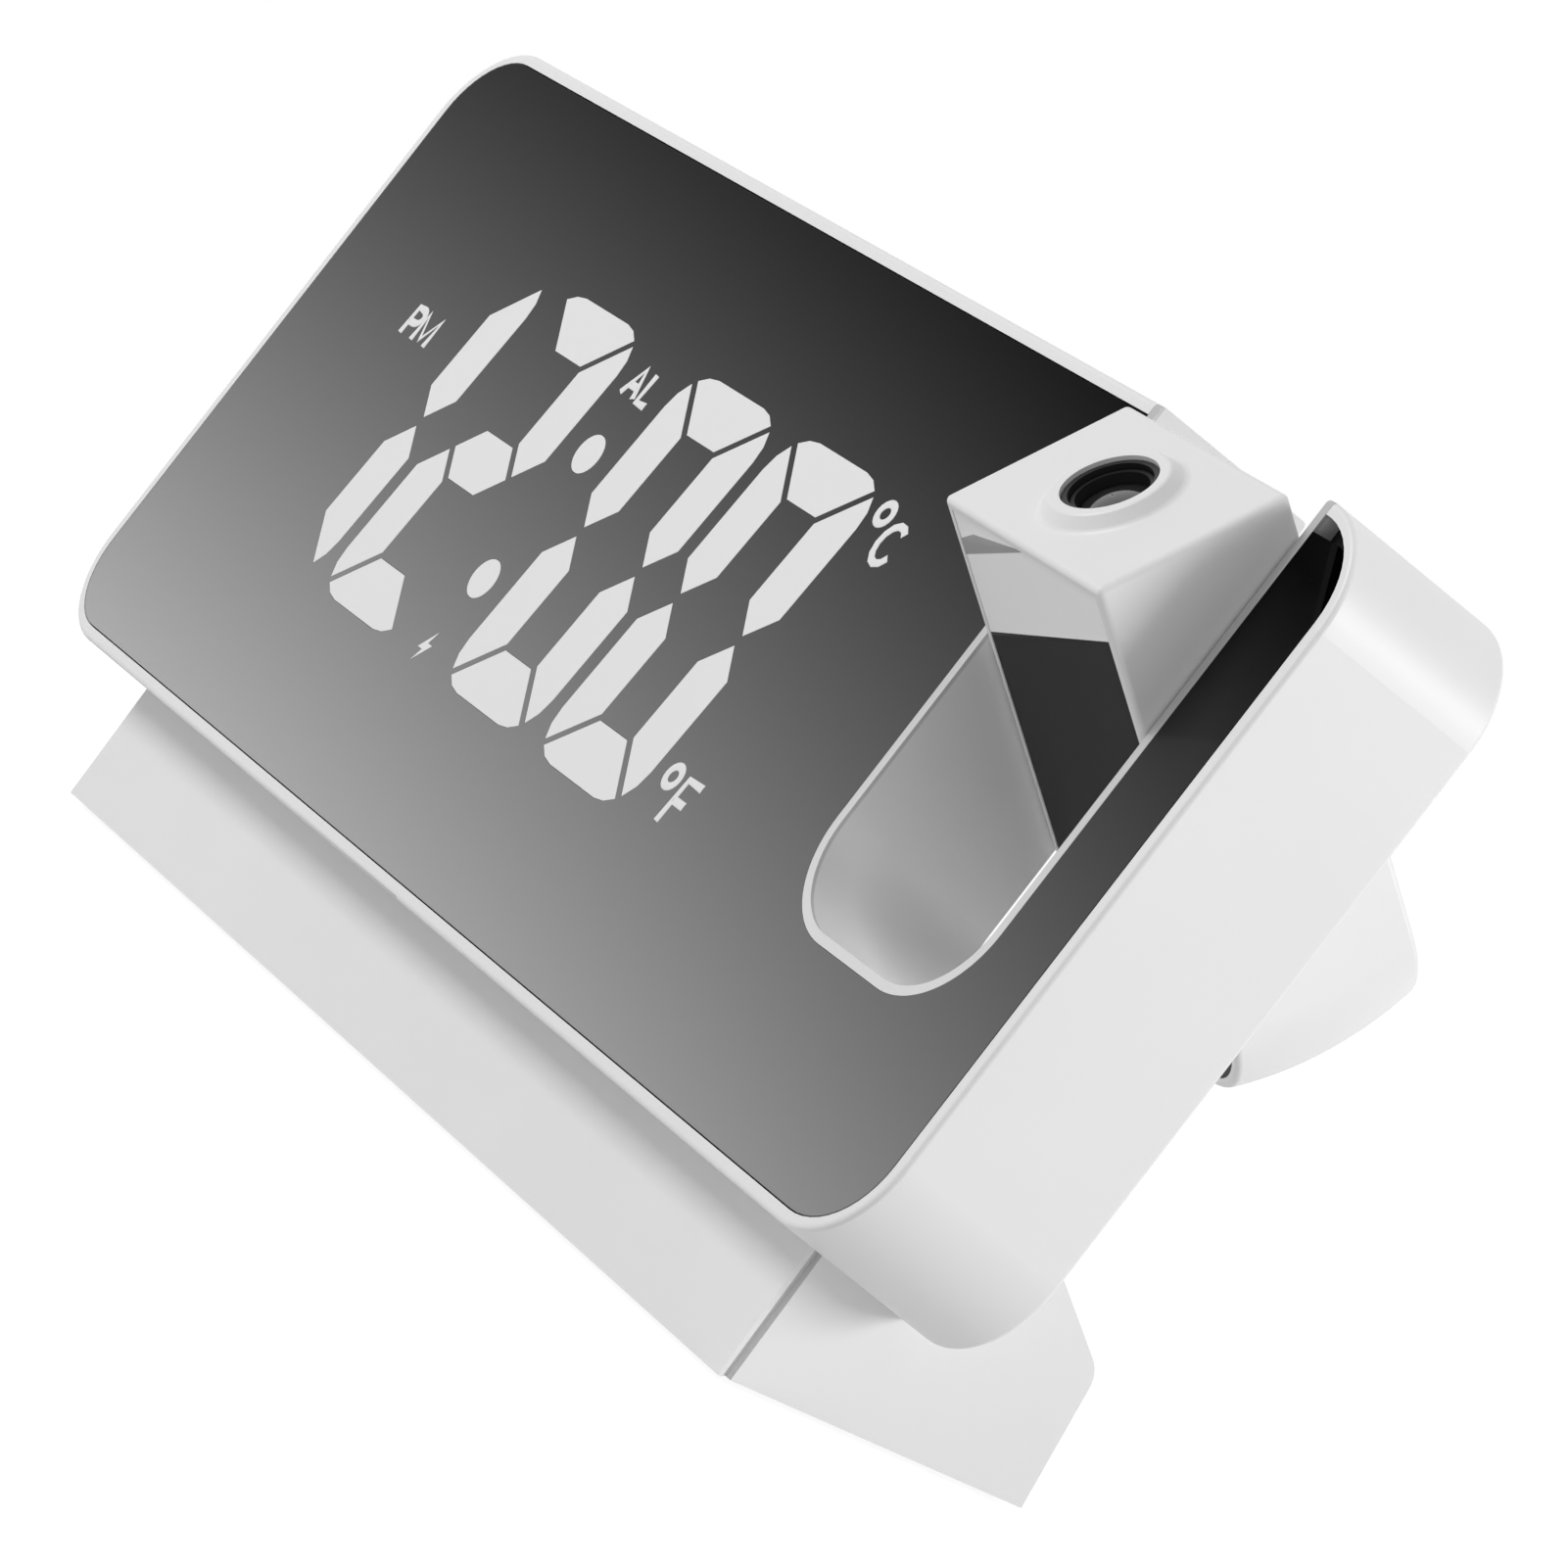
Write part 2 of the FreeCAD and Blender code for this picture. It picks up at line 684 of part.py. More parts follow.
DIGIT_START = f"(digit_inset - {PANEL_SIDE})"
DIGIT_LEFTS = [
    DIGIT_START,
    f"({DIGIT_START} + digit_pitch)",
    f"({DIGIT_START} + 2 * digit_pitch + colon_space)",
    f"({DIGIT_START} + 3 * digit_pitch + colon_space)",
]
COLON_X = f"({DIGIT_START} + 2 * digit_pitch + colon_space - colon_offset)"
COLON_DOTS = ["colon_upper", "colon_lower"]
SHOWN = ["bc", "abged", "abcdef", "abcdef"]
ALL_SEGMENTS = "abcdefg"
ALL_LIT = [ALL_SEGMENTS] * 4
EASE = "(segment_gap * sqrt(2) / 2)"
SEGMENT_MIDDLES = {
    "a": ("digit_width / 2", "(digit_height / 2 - bar_width / 2)"),
    "b": ("(digit_width - upright_width / 2)", "(digit_height / 4)"),
    "c": ("(digit_width - upright_width / 2)", "(-digit_height / 4)"),
    "d": ("digit_width / 2", "(-(digit_height / 2 - bar_width / 2))"),
    "e": ("upright_width / 2", "(-digit_height / 4)"),
    "f": ("upright_width / 2", "(digit_height / 4)"),
    "g": ("digit_width / 2", "0"),
}


def round_point(inset, angle):
    """A point on the digit's rounded outer corner, by its angle up from the side."""
    x = f"(digit_corner - (digit_corner - {inset}) * cos({angle}))"
    z = f"(digit_height / 2 - digit_corner + (digit_corner - {inset}) * sin({angle}))"
    return x, z


def mitre_point(inset, sign):
    """The point where a mitred edge, below the mitre or above it, meets the round corner."""
    offset = f"(mitre_shift {sign} ({EASE} + {inset} * sqrt(2)))"
    return round_point(inset, f"(45 deg + asin({offset} / (digit_corner - {inset}) / sqrt(2)))")


def upright_points(inset):
    """The upper left segment, in a cell whose left edge is x = 0 and whose middle is z = 0."""
    mitre = f"(digit_height / 2 + mitre_shift - {EASE} - {inset} * sqrt(2))"
    tip = f"({EASE} + {inset} * sqrt(2))"
    shoulder = f"({tip} + upright_width / 2 - {inset})"
    inner = f"(upright_width - {inset})"
    return [
        (inset, shoulder),
        ("upright_width / 2", tip),
        (inner, shoulder),
        (inner, f"({mitre} - {inner})"),
        mitre_point(inset, "-"),
        round_point(inset, "21 deg"),
        round_point(inset, "0 deg"),
    ]


def bar_points(inset):
    """The top segment."""
    mitre = f"(digit_height / 2 + mitre_shift + {EASE} + {inset} * sqrt(2))"
    low = f"(digit_height / 2 - bar_width + {inset})"
    left = [
        (f"({mitre} - {low})", low),
        mitre_point(inset, "+"),
        round_point(inset, "70 deg"),
        round_point(inset, "90 deg"),
    ]
    right = [(f"(digit_width - {x})", z) for x, z in reversed(left)]
    return left + right


def middle_points(inset):
    """The middle segment."""
    tip = f"(upright_width / 2 + {EASE} + {inset} * sqrt(2))"
    half = f"(bar_width / 2 - {inset})"
    shoulder = f"({tip} + {half})"
    left = [(shoulder, f"(-{half})"), (tip, "0"), (shoulder, half)]
    right = [(f"(digit_width - {x})", z) for x, z in reversed(left)]
    return left + right


def segment_points(letter, inset):
    """One of the seven segments, flipped into its place and leaning with the cell."""
    if letter in "ad":
        points = bar_points(inset)
    elif letter == "g":
        points = middle_points(inset)
    else:
        points = upright_points(inset)
    if letter in "bc":
        points = [(f"(digit_width - {x})", z) for x, z in points]
    if letter in "cde":
        points = [(x, f"(-{z})") for x, z in points]
    return [(f"{x} + digit_slant * {z}", z) for x, z in points]


def segment_outlines(name, inset):
    return {
        letter: outline(f"{name}_{letter}_outline", "front", segment_points(letter, inset))
        for letter in ALL_SEGMENTS
    }


WINDOW_OUTLINES = segment_outlines("window", "0")
LIGHT_OUTLINES = segment_outlines("light", "segment_fit")


def numerals(name, outlines, inset, front, back, shown):
    """The chosen segments of the four digits and both colon dots as prisms."""
    solids = {
        letter: extrude(f"{name}_{letter}", "front", outlines[letter], front, back)
        for letter in ALL_SEGMENTS
    }
    members = []
    for i, (left, letters) in enumerate(zip(DIGIT_LEFTS, shown)):
        digit = group(f"{name}_digit_{i}", [solids[letter] for letter in letters])
        bind(digit, "Placement.Base.x", left)
        members.append(digit)
    for i, z in enumerate(COLON_DOTS):
        members.append(cylinder(f"{name}_dot_{i}", "Y", (f"{COLON_X} + digit_slant * {z}", front, z),
                                f"colon_radius - {inset}", f"({back}) - ({front})"))
    return group(name, members)


def make_mirror_panel():
    """The mirrored front panel, with windows for the lit numerals."""
    plate = rounded_block("panel_plate", "Y", (f"-{PANEL_SIDE}", "0", f"-{PANEL_TOP}"),
                          (PANEL_SIDE, "panel_thickness", PANEL_TOP), PANEL_CORNER)
    relief_top = f"({PANEL_TOP} - relief_drop)"
    relief_side = f"({PANEL_TOP} - relief_side_drop)"
    relief = prism("panel_relief", "front", [
        (RECESS_RIGHT, relief_top),
        (f"({PANEL_SIDE} - relief_inset)", relief_top),
        (f"{PANEL_SIDE} + seat_gap", relief_side),
        ("case_width", relief_side),
        ("case_width", "case_height"),
        (RECESS_RIGHT, "case_height"),
    ], "-1", "panel_thickness + 1")
    slot = slot_block("panel_slot", "-1", "panel_thickness + 1", "seat_gap")
    windows = numerals("panel_windows", WINDOW_OUTLINES, "0", "-1", "panel_thickness + 1", SHOWN)
    solid = cut("panel_solid", cut("panel_blank", plate, [relief, slot]), [windows])
    finish(solid, "mirror_panel", CASE_PLACE)


def make_lit_numerals():
    lit = numerals("lit", LIGHT_OUTLINES, "segment_fit", "0", "panel_thickness", SHOWN)
    finish(lit, "lit_numerals", CASE_PLACE)


def make_panel_gasket():
    """Black foam between the panel and the ledge, filled in at the panel's cut corner."""
    front = MASK_FRONT
    back = f"({MASK_FRONT} + gasket_thickness)"
    ring = opening_block("gasket_outer", front, back, "panel_gap")
    window = opening_block("gasket_window", f"{front} - 1", f"{back} + 1", "ledge_width")
    keep = box("gasket_keep", (RECESS_RIGHT, "0", PIVOT_HEIGHT),
               ("case_width", "case_depth", "case_height"))
    slot = box("gasket_slot", (f"{RECESS_LEFT} - seat_gap", "0", "0"),
               (f"{RECESS_RIGHT} + seat_gap", "case_depth", "case_height"))
    solid = cut("gasket_solid", ring, [cut("gasket_hole", window, [keep]), slot])
    finish(solid, "panel_gasket", CASE_PLACE)


# The stack behind the panel: mask, light guides, lamp board, spacers and main board

def board_block(name, front, back):
    return box(name, (BOARD_LEFT, front, f"-{BOARD_HALF}"), (BOARD_RIGHT, back, BOARD_HALF))


def board_holes(name, front, back, radius):
    return [
        cylinder(f"{name}_{i}", "Y", (x, f"{front} - 1", z), radius, f"({back}) - ({front}) + 2")
        for i, (x, z) in enumerate(BOARD_SCREWS)
    ]


def make_mask_and_guides():
    windows = numerals("mask_windows", WINDOW_OUTLINES, "0", f"{MASK_FRONT} - 1",
                       f"{MASK_BACK} + 1", ALL_LIT)
    pilots = board_holes("mask_pilot", SCREW_TIP, MASK_BACK, PILOT)
    mask = cut("mask_solid", board_block("mask_block", MASK_FRONT, MASK_BACK),
               [group("mask_holes", [windows] + pilots)])
    finish(mask, "display_mask", CASE_PLACE)
    guide_front = f"({MASK_FRONT} + seat_gap)"
    guides = numerals("guides", LIGHT_OUTLINES, "segment_fit", guide_front,
                      f"({guide_front} + guide_depth)", ALL_LIT)
    finish(guides, "segment_light_guides", CASE_PLACE)


def led_block(name, x, z):
    """One lamp on the front of the lamp board."""
    return box(name,
               (f"{x} - led_chip / 2", f"{DISPLAY_BOARD_FRONT} - led_chip_thickness",
                f"{z} - led_chip / 2"),
               (f"{x} + led_chip / 2", DISPLAY_BOARD_FRONT, f"{z} + led_chip / 2"))


def make_display_leds():
    """One lamp behind each segment and each colon dot."""
    chips = [
        led_block(f"led_{letter}", f"({x} + digit_slant * {z})", z)
        for letter, (x, z) in SEGMENT_MIDDLES.items()
    ]
    members = []
    for i, left in enumerate(DIGIT_LEFTS):
        digit = group(f"digit_leds_{i}", chips)
        bind(digit, "Placement.Base.x", left)
        members.append(digit)
    for i, z in enumerate(COLON_DOTS):
        members.append(led_block(f"dot_led_{i}", f"({COLON_X} + digit_slant * {z})", z))
    finish(group("leds", members), "display_leds", CASE_PLACE)


def make_boards():
    for label, front, back in (
        ("display_board", DISPLAY_BOARD_FRONT, DISPLAY_BOARD_BACK),
        ("main_board", MAIN_BOARD_FRONT, MAIN_BOARD_BACK),
    ):
        holes = board_holes(label + "_hole", front, back, SCREW_HOLE)
        board = cut(label + "_solid", board_block(label + "_block", front, back), holes)
        finish(board, label, CASE_PLACE)
    spacers = [
        tube(f"spacer_{i}", "Y", (x, f"{DISPLAY_BOARD_BACK} + seat_gap", z), "spacer_radius",
             SCREW_HOLE, "board_spacing")
        for i, (x, z) in enumerate(BOARD_SCREWS)
    ]
    finish(group("spacers", spacers), "board_spacers", CASE_PLACE)
    screws = []
    for i, (x, z) in enumerate(BOARD_SCREWS):
        shank = cylinder(f"long_shank_{i}", "Y", (x, SCREW_TIP, z), "screw_radius",
                         "board_screw_length")
        head = cylinder(f"long_head_{i}", "Y", (x, MAIN_BOARD_BACK, z), "screw_head_radius",
                        "screw_head_thickness")
        screws.append(fuse(f"long_screw_{i}", [shank, head]))
    finish(group("long_screws", screws), "board_screws", CASE_PLACE)


# Parts on the rear of the main board

def on_board(name, x, z, width, height, depth):
    """A block on the rear face of the main board."""
    return box(name, (f"{x} - ({width}) / 2", SOLDERED, f"{z} - ({height}) / 2"),
               (f"{x} + ({width}) / 2", f"{SOLDERED} + {depth}", f"{z} + ({height}) / 2"))


def make_main_board_parts():
    chip = on_board("chip_block", CHIP_X, "chip_z", "chip_size", "chip_size", "chip_thickness")
    finish(group("chip", [chip]), "processor_chip", CASE_PLACE)
    can = on_board("crystal_can", f"({CHIP_X} + crystal_offset)", "chip_z", "crystal_width",
                   "crystal_length", "crystal_width")
    finish(group("crystal", [can]), "quartz_crystal", CASE_PLACE)
    cans = [
        cylinder(f"capacitor_{i}", "Y",
                 (f"{CAPACITOR_X} + {i} * capacitor_pitch", SOLDERED, "capacitor_z"),
                 "capacitor_radius", "capacitor_height")
        for i in range(3)
    ]
    finish(group("capacitor_group", cans), "capacitors", CASE_PLACE)
    header = on_board("header_block", HEADER_X, HEADER_Z, "header_length", "header_width",
                      "header_width")
    finish(group("header", [header]), "wire_header", CASE_PLACE)


def make_alarm_buzzer():
    can = cylinder("buzzer_can", "Y", (GRILLE_X, SOLDERED, "grille_z"), "buzzer_radius",
                   "buzzer_height")
    mouth = cylinder("buzzer_hole", "Y",
                     (GRILLE_X, f"{SOLDERED} + buzzer_height / 2", "grille_z"),
                     "buzzer_mouth", "buzzer_height")
    finish(cut("buzzer_solid", can, [mouth]), "alarm_buzzer", CASE_PLACE)


def make_switches():
    """A push switch behind each rear button, and one under the snooze bar."""
    switches = []
    for i in range(len(BUTTONS)):
        body = on_board(f"switch_body_{i}", button_x(i), "button_row", "switch_size",
                        "switch_size", "switch_body")
        plunger = cylinder(f"switch_plunger_{i}", "Y", (button_x(i), SOLDERED, "button_row"),
                           "plunger_radius", "switch_body + plunger_height")
        switches.append(fuse(f"switch_{i}", [body, plunger]))
    finish(group("switches", switches), "tact_switches", CASE_PLACE)
    body = box("snooze_switch_body",
               ("snooze_x - switch_size / 2", SOLDERED, f"{SNOOZE_SWITCH_TOP} - snooze_switch_height"),
               ("snooze_x + switch_size / 2", f"{SOLDERED} + snooze_switch_depth",
                SNOOZE_SWITCH_TOP))
    plunger = cylinder("snooze_plunger", "Z",
                       ("snooze_x", f"{SOLDERED} + snooze_plunger_radius + 0.2",
                        f"{SNOOZE_SWITCH_TOP} - 1"),
                       "snooze_plunger_radius", "1 + plunger_height")
    finish(fuse("snooze_switch_solid", [body, plunger]), "snooze_switch", CASE_PLACE)


def port_block(name, front, back, grow):
    """The power socket's rounded outline as a block, grown or drawn in on all sides."""
    half_wide = f"(port_width / 2 + ({grow}))"
    half_high = f"(port_height / 2 + ({grow}))"
    return rounded_block(
        name, "Y",
        (f"{PORT_X} - {half_wide}", front, f"port_z - {half_high}"),
        (f"{PORT_X} + {half_wide}", back, f"port_z + {half_high}"), f"{half_high} - 0.01",
    )


def make_power_socket():
    """The power socket: a metal shell round a tongue, reaching into the rear cover."""
    back = "(case_depth - port_gap)"
    shell = port_block("port_shell", SOLDERED, back, "0")
    hollow = port_block("port_hollow", f"{SOLDERED} + port_floor", "case_depth + 1", "-port_wall")
    finish(cut("port_solid", shell, [hollow]), "power_socket_shell", CASE_PLACE)
    tongue = box(
        "tongue_block",
        (f"{PORT_X} - tongue_width / 2", f"{SOLDERED} + port_floor + seat_gap",
         "port_z - tongue_height / 2"),
        (f"{PORT_X} + tongue_width / 2", f"{back} - tongue_recess", "port_z + tongue_height / 2"),
    )
    finish(group("tongue", [tongue]), "power_socket_tongue", CASE_PLACE)


# Rear cover with its screws, and the five buttons that pass through it

def make_rear_cover():
    plate = rounded_block("cover_plate", "Y", (f"-{PANEL_SIDE}", COVER_FRONT, f"-{PANEL_TOP}"),
                          (PANEL_SIDE, "case_depth", PANEL_TOP), PANEL_CORNER)
    front = f"{COVER_FRONT} - 1"
    through = "cover_thickness + 2"
    holes = [slot_block("cover_slot", front, "case_depth + 1", "seat_gap")]
    for i in range(len(BUTTONS)):
        holes.append(cylinder(f"button_hole_{i}", "Y", (button_x(i), front, "button_row"),
                              "button_radius + button_gap", through))
    for i, (x, z) in enumerate(COVER_SCREWS):
        holes.append(cylinder(f"cover_hole_{i}", "Y", (x, front, z), SCREW_HOLE, through))
        holes.append(cylinder(f"cover_sink_{i}", "Y",
                              (x, "case_depth - screw_head_thickness", z), HEAD_HOLE,
                              "screw_head_thickness + 1"))
    for i in range(5):
        middle = f"(grille_z + {i - 2} * grille_pitch)"
        holes.append(box(f"grille_{i}",
                         (f"{GRILLE_X} - grille_length / 2", front, f"{middle} - grille_width / 2"),
                         (f"{GRILLE_X} + grille_length / 2", "case_depth + 1",
                          f"{middle} + grille_width / 2")))
    holes.append(port_block("port_hole", front, "case_depth + 1", "port_gap"))
    finish(cut("cover_solid", plate, holes), "rear_cover", CASE_PLACE)
    screws = [
        screw(f"cover_screw_{i}", "Y", (x, "case_depth - screw_head_thickness", z), False)
        for i, (x, z) in enumerate(COVER_SCREWS)
    ]
    finish(group("cover_screws", screws), "rear_cover_screws", CASE_PLACE)


def make_button(index, name):
    """A rear button: a cap through the cover, with a flange that holds it in."""
    x = button_x(index)
    front = f"({FLANGE_BACK} - button_flange_thickness)"
    cap = cylinder(name + "_cap", "Y", (x, front, "button_row"), "button_radius",
                   f"case_depth + button_proud - {front}")
    flange = cylinder(name + "_flange", "Y", (x, front, "button_row"),
                      "button_radius + button_gap + button_flange", "button_flange_thickness")
    finish(fuse(name + "_solid", [cap, flange]), name + "_button", CASE_PLACE)


def make_buttons():
    for index, name in enumerate(BUTTONS):
        make_button(index, name)


def make_snooze_bar():
    """The long key flush in the top wall, with a flange and a leg to its switch."""
    half_long = "snooze_length / 2"
    half_wide = "snooze_width / 2"
    flange_top = f"({OPENING_TOP} - button_gap)"
    flange_low = f"({flange_top} - snooze_flange_thickness)"
    key = box("snooze_key",
              (f"snooze_x - {half_long}", f"snooze_y - {half_wide}", flange_low),
              (f"snooze_x + {half_long}", f"snooze_y + {half_wide}",
               "case_height / 2 - snooze_sunk"))
    rim = "(button_gap + snooze_flange)"
    flange = box("snooze_rim",
                 (f"snooze_x - {half_long} - {rim}", f"snooze_y - {half_wide} - {rim}", flange_low),
                 (f"snooze_x + {half_long} + {rim}", f"snooze_y + {half_wide} + {rim}", flange_top))
    leg = box("snooze_leg",
              ("snooze_x - snooze_leg_width / 2", SOLDERED,
               f"{SNOOZE_SWITCH_TOP} + plunger_height + snooze_leg_gap"),
              ("snooze_x + snooze_leg_width / 2", f"snooze_y + {half_wide} + {rim}", flange_top))
    finish(fuse("snooze_solid", [key, flange, leg]), "snooze_bar", CASE_PLACE)


# Projector arm, in its own frame: the origin on the pivots, z towards the lens end, -y to
# the mirrored face

LENS_WALL = "(arm_above - arm_wall)"
MIRROR_BACK = f"(arm_mirror_thickness + arm_mirror_recess - {HALF_THICK})"
FOCUS_OUTER = "(collar_bore - focus_clearance)"
FOCUS_INNER = f"({FOCUS_OUTER} - focus_wall)"
LENS_CELL_OUTER = f"({FOCUS_INNER} - focus_clearance)"
LENS_CELL_INNER = f"({LENS_CELL_OUTER} - lens_cell_wall)"
LENS_CELL_TOP = "(arm_above + collar_height - lens_cell_recess)"


def arm_face_block(name, front, back, inset):
    """The arm's outline seen from its front as a block, drawn in on all sides."""
    return rounded_block(
        name, "Y",
        (f"({inset}) - {HALF_ARM}", front, f"({inset}) - {TAIL_EDGE}"),
        (f"{HALF_ARM} - ({inset})", back, f"arm_above - ({inset})"),
        f"{ARM_CORNER} - ({inset})", bottom_only=True,
    )


def make_arm_form():
    """The arm's outer form: square at the lens end, with a tail round about the pivots."""
    half = size("arm_thickness") / 2
    top = size("arm_above")
    reach = size("recess_depth") - size("recess_wall") - size("arm_floor_gap")
    low = -math.sqrt(reach ** 2 - half ** 2)
    body = doc.addObject("PartDesign::Body", "arm_form")
    sketch = base_sketch(body, "arm_side", "YZ_Plane")
    bind(sketch, "AttachmentOffset.Base.z", f"-{HALF_ARM}")
    corners = [(-half, low), (-half, top), (half, top), (half, low)]
    for start, end in zip(corners, corners[1:]):
        sketch.addGeometry(Part.LineSegment(Vector(*start, 0), Vector(*end, 0)), False)
    circle = Part.Circle(Vector(), Vector(0, 0, 1), reach)
    sketch.addGeometry(
        Part.ArcOfCircle(circle, math.atan2(low, -half), math.atan2(low, half)), False)
    for joint in ((0, 2, 1, 1), (1, 2, 2, 1), (2, 2, 3, 2), (3, 1, 0, 1), (3, 3, -1, 1)):
        sketch.addConstraint(Sketcher.Constraint("Coincident", *joint))
    for kind, line in (("Vertical", 0), ("Horizontal", 1), ("Vertical", 2)):
        sketch.addConstraint(Sketcher.Constraint(kind, line))
    for kind, corner, text in (
        ("DistanceX", 0, f"-{HALF_THICK}"),
        ("DistanceY", 0, "arm_above"),
        ("DistanceX", 1, HALF_THICK),
    ):
        index = sketch.addConstraint(Sketcher.Constraint(kind, -1, 1, corner, 2, 10.0))
        bind(sketch, f"Constraints[{index}]", text)
    index = sketch.addConstraint(Sketcher.Constraint("Radius", 3, reach))
    bind(sketch, f"Constraints[{index}]", TAIL_RADIUS)
    pad = body.newObject("PartDesign::Pad", "arm_pad")
    pad.Profile = sketch
    bind(pad, "Length", f"2 * {HALF_ARM}")
    fillet(body, "tail_corners",
           lambda edge: abs(centre(edge).x) > 1 and centre(edge).z < low, ARM_CORNER)
    return body


def make_arm_housing():
    body = make_arm_form()
    half = size("arm_thickness") / 2
    top = size("arm_above")
    fillet(body, "arm_edges",
           lambda edge: abs(abs(centre(edge).y) - half) < 0.01 or abs(centre(edge).z - top) < 0.01,
           "arm_edge")
    collar = body.newObject("PartDesign::AdditiveCone", "collar")
    bind(collar, "Radius1", "collar_radius + collar_spread")
    bind(collar, "Radius2", "collar_radius")
    bind(collar, "Height", "collar_height")
    bind(collar, "Placement.Base.z", "arm_above")
    reach = size("collar_radius") + size("collar_spread")

    def foot(edge):
        middle = centre(edge)
        return abs(middle.z - top) < 0.01 and abs(math.hypot(middle.x, middle.y) - reach) < 0.01

    fillet(body, "collar_foot", foot, "collar_blend")
    rim = top + size("collar_height")
    fillet(body, "collar_rim", lambda edge: abs(centre(edge).z - rim) < 0.01, "collar_round")

    pocket = arm_face_block("mirror_pocket", f"-{HALF_THICK} - 1", MIRROR_BACK, "arm_lip")
    cavity = rounded_block(
        "arm_cavity", "Y",
        (f"arm_wall - {HALF_ARM}", f"{MIRROR_BACK} - 0.5", f"arm_wall - {TAIL_EDGE}"),
        (f"{HALF_ARM} - arm_wall", f"{HALF_THICK} - arm_wall", LENS_WALL),
        f"{ARM_CORNER} - arm_wall", bottom_only=True,
    )
    bore = cylinder("lens_bore", "Z", ("0", "0", "0"), "collar_bore",
                    "arm_above + collar_height + 1")
    pivots = cylinder("arm_pivot_bore", "X", (f"-{HALF_ARM} - 1", "0", "0"), PIVOT_BORE,
                      f"2 * {HALF_ARM} + 2")
    shell = cut("arm_shell", body, [pocket, cavity, bore, pivots])
    half_rib = "projector_width / 2"
    ribs = [
        box(f"arm_rib_{i}",
            (f"-{half_rib}", f"{half_rib} + seat_gap", z),
            (half_rib, f"{HALF_THICK} - arm_wall / 2", f"{z} + rib_thickness"))
        for i, z in enumerate(("(projector_bottom + 1)", "(projector_top - 1 - rib_thickness)"))
    ]
    finish(fuse("arm_solid", [shell] + ribs), "arm_housing", ARM_PLACE)


def make_arm_mirror():
    plate = arm_face_block("arm_mirror_plate", f"arm_mirror_recess - {HALF_THICK}",
                           f"{MIRROR_BACK} - seat_gap", "arm_lip + seat_gap")
    finish(plate, "arm_mirror", ARM_PLACE)


def make_pivots():
    """Stub shafts on both sides, flanged inside the arm; the left one carries the wires."""
    inside = f"({HALF_ARM} - arm_wall - seat_gap)"
    flange_start = f"({inside} - pivot_flange_thickness)"
    outside = "(recess_width / 2 + pivot_boss_length)"
    length = f"({outside} - {flange_start})"
    right = fuse("right_pivot_solid", [
        cylinder("right_shaft", "X", (flange_start, "0", "0"), "pivot_radius", length),
        cylinder("right_flange", "X", (flange_start, "0", "0"), "pivot_flange_radius",
                 "pivot_flange_thickness"),
    ])
    finish(right, "right_pivot", ARM_PLACE)
    left = fuse("left_pivot_blank", [
        cylinder("left_shaft", "X", (f"-{outside}", "0", "0"), "pivot_radius", length),
        cylinder("left_flange", "X", (f"-{inside}", "0", "0"), "pivot_flange_radius",
                 "pivot_flange_thickness"),
    ])
    hole = cylinder("wire_hole", "X", (f"-{outside} - 1", "0", "0"), "wire_hole_radius",
                    f"{length} + 2")
    finish(cut("left_pivot_solid", left, [hole]), "left_pivot", ARM_PLACE)
    starts = (f"{HALF_ARM} + seat_gap", f"-{HALF_ARM} - seat_gap - washer_thickness")
    washers = [
        tube(f"washer_{i}", "X", (x, "0", "0"), "washer_radius", PIVOT_BORE, "washer_thickness")
        for i, x in enumerate(starts)
    ]
    finish(group("washers", washers), "friction_washers", ARM_PLACE)


def make_focus_parts():
    """The focus ring in the collar, and the lens cell that it moves in and out."""
    ring_top = "(arm_above + collar_height - focus_recess)"
    flange_top = f"({LENS_WALL} - focus_clearance)"
    flange_low = f"({flange_top} - focus_flange_thickness)"
    blank = fuse("focus_blank", [
        cylinder("focus_tube", "Z", ("0", "0", flange_low), FOCUS_OUTER,
                 f"{ring_top} - {flange_low}"),
        cylinder("focus_flange", "Z", ("0", "0", flange_low), "focus_flange_radius",
                 "focus_flange_thickness"),
    ])
    hole = cylinder("focus_hole", "Z", ("0", "0", f"{flange_low} - 1"), FOCUS_INNER,
                    f"{ring_top} - {flange_low} + 2")
    finish(cut("focus_solid", blank, [hole]), "focus_ring", ARM_PLACE)

    low = f"({LENS_CELL_TOP} - lens_cell_length)"
    cell = tube("lens_cell_tube", "Z", ("0", "0", low), LENS_CELL_OUTER, LENS_CELL_INNER,
                "lens_cell_length")
    finish(cell, "lens_cell", ARM_PLACE)
    radius = f"({LENS_CELL_INNER} - seat_gap)"
    front = lens("front_lens", f"{LENS_CELL_TOP} - lens_recess - lens_thickness / 2", radius,
                 "lens_thickness", "lens_curve")
    rear = lens("rear_lens", f"{low} + lens_recess + lens_thickness / 2", radius,
                "lens_thickness", "lens_curve")
    finish(group("lenses", [front, rear]), "projection_lenses", ARM_PLACE)


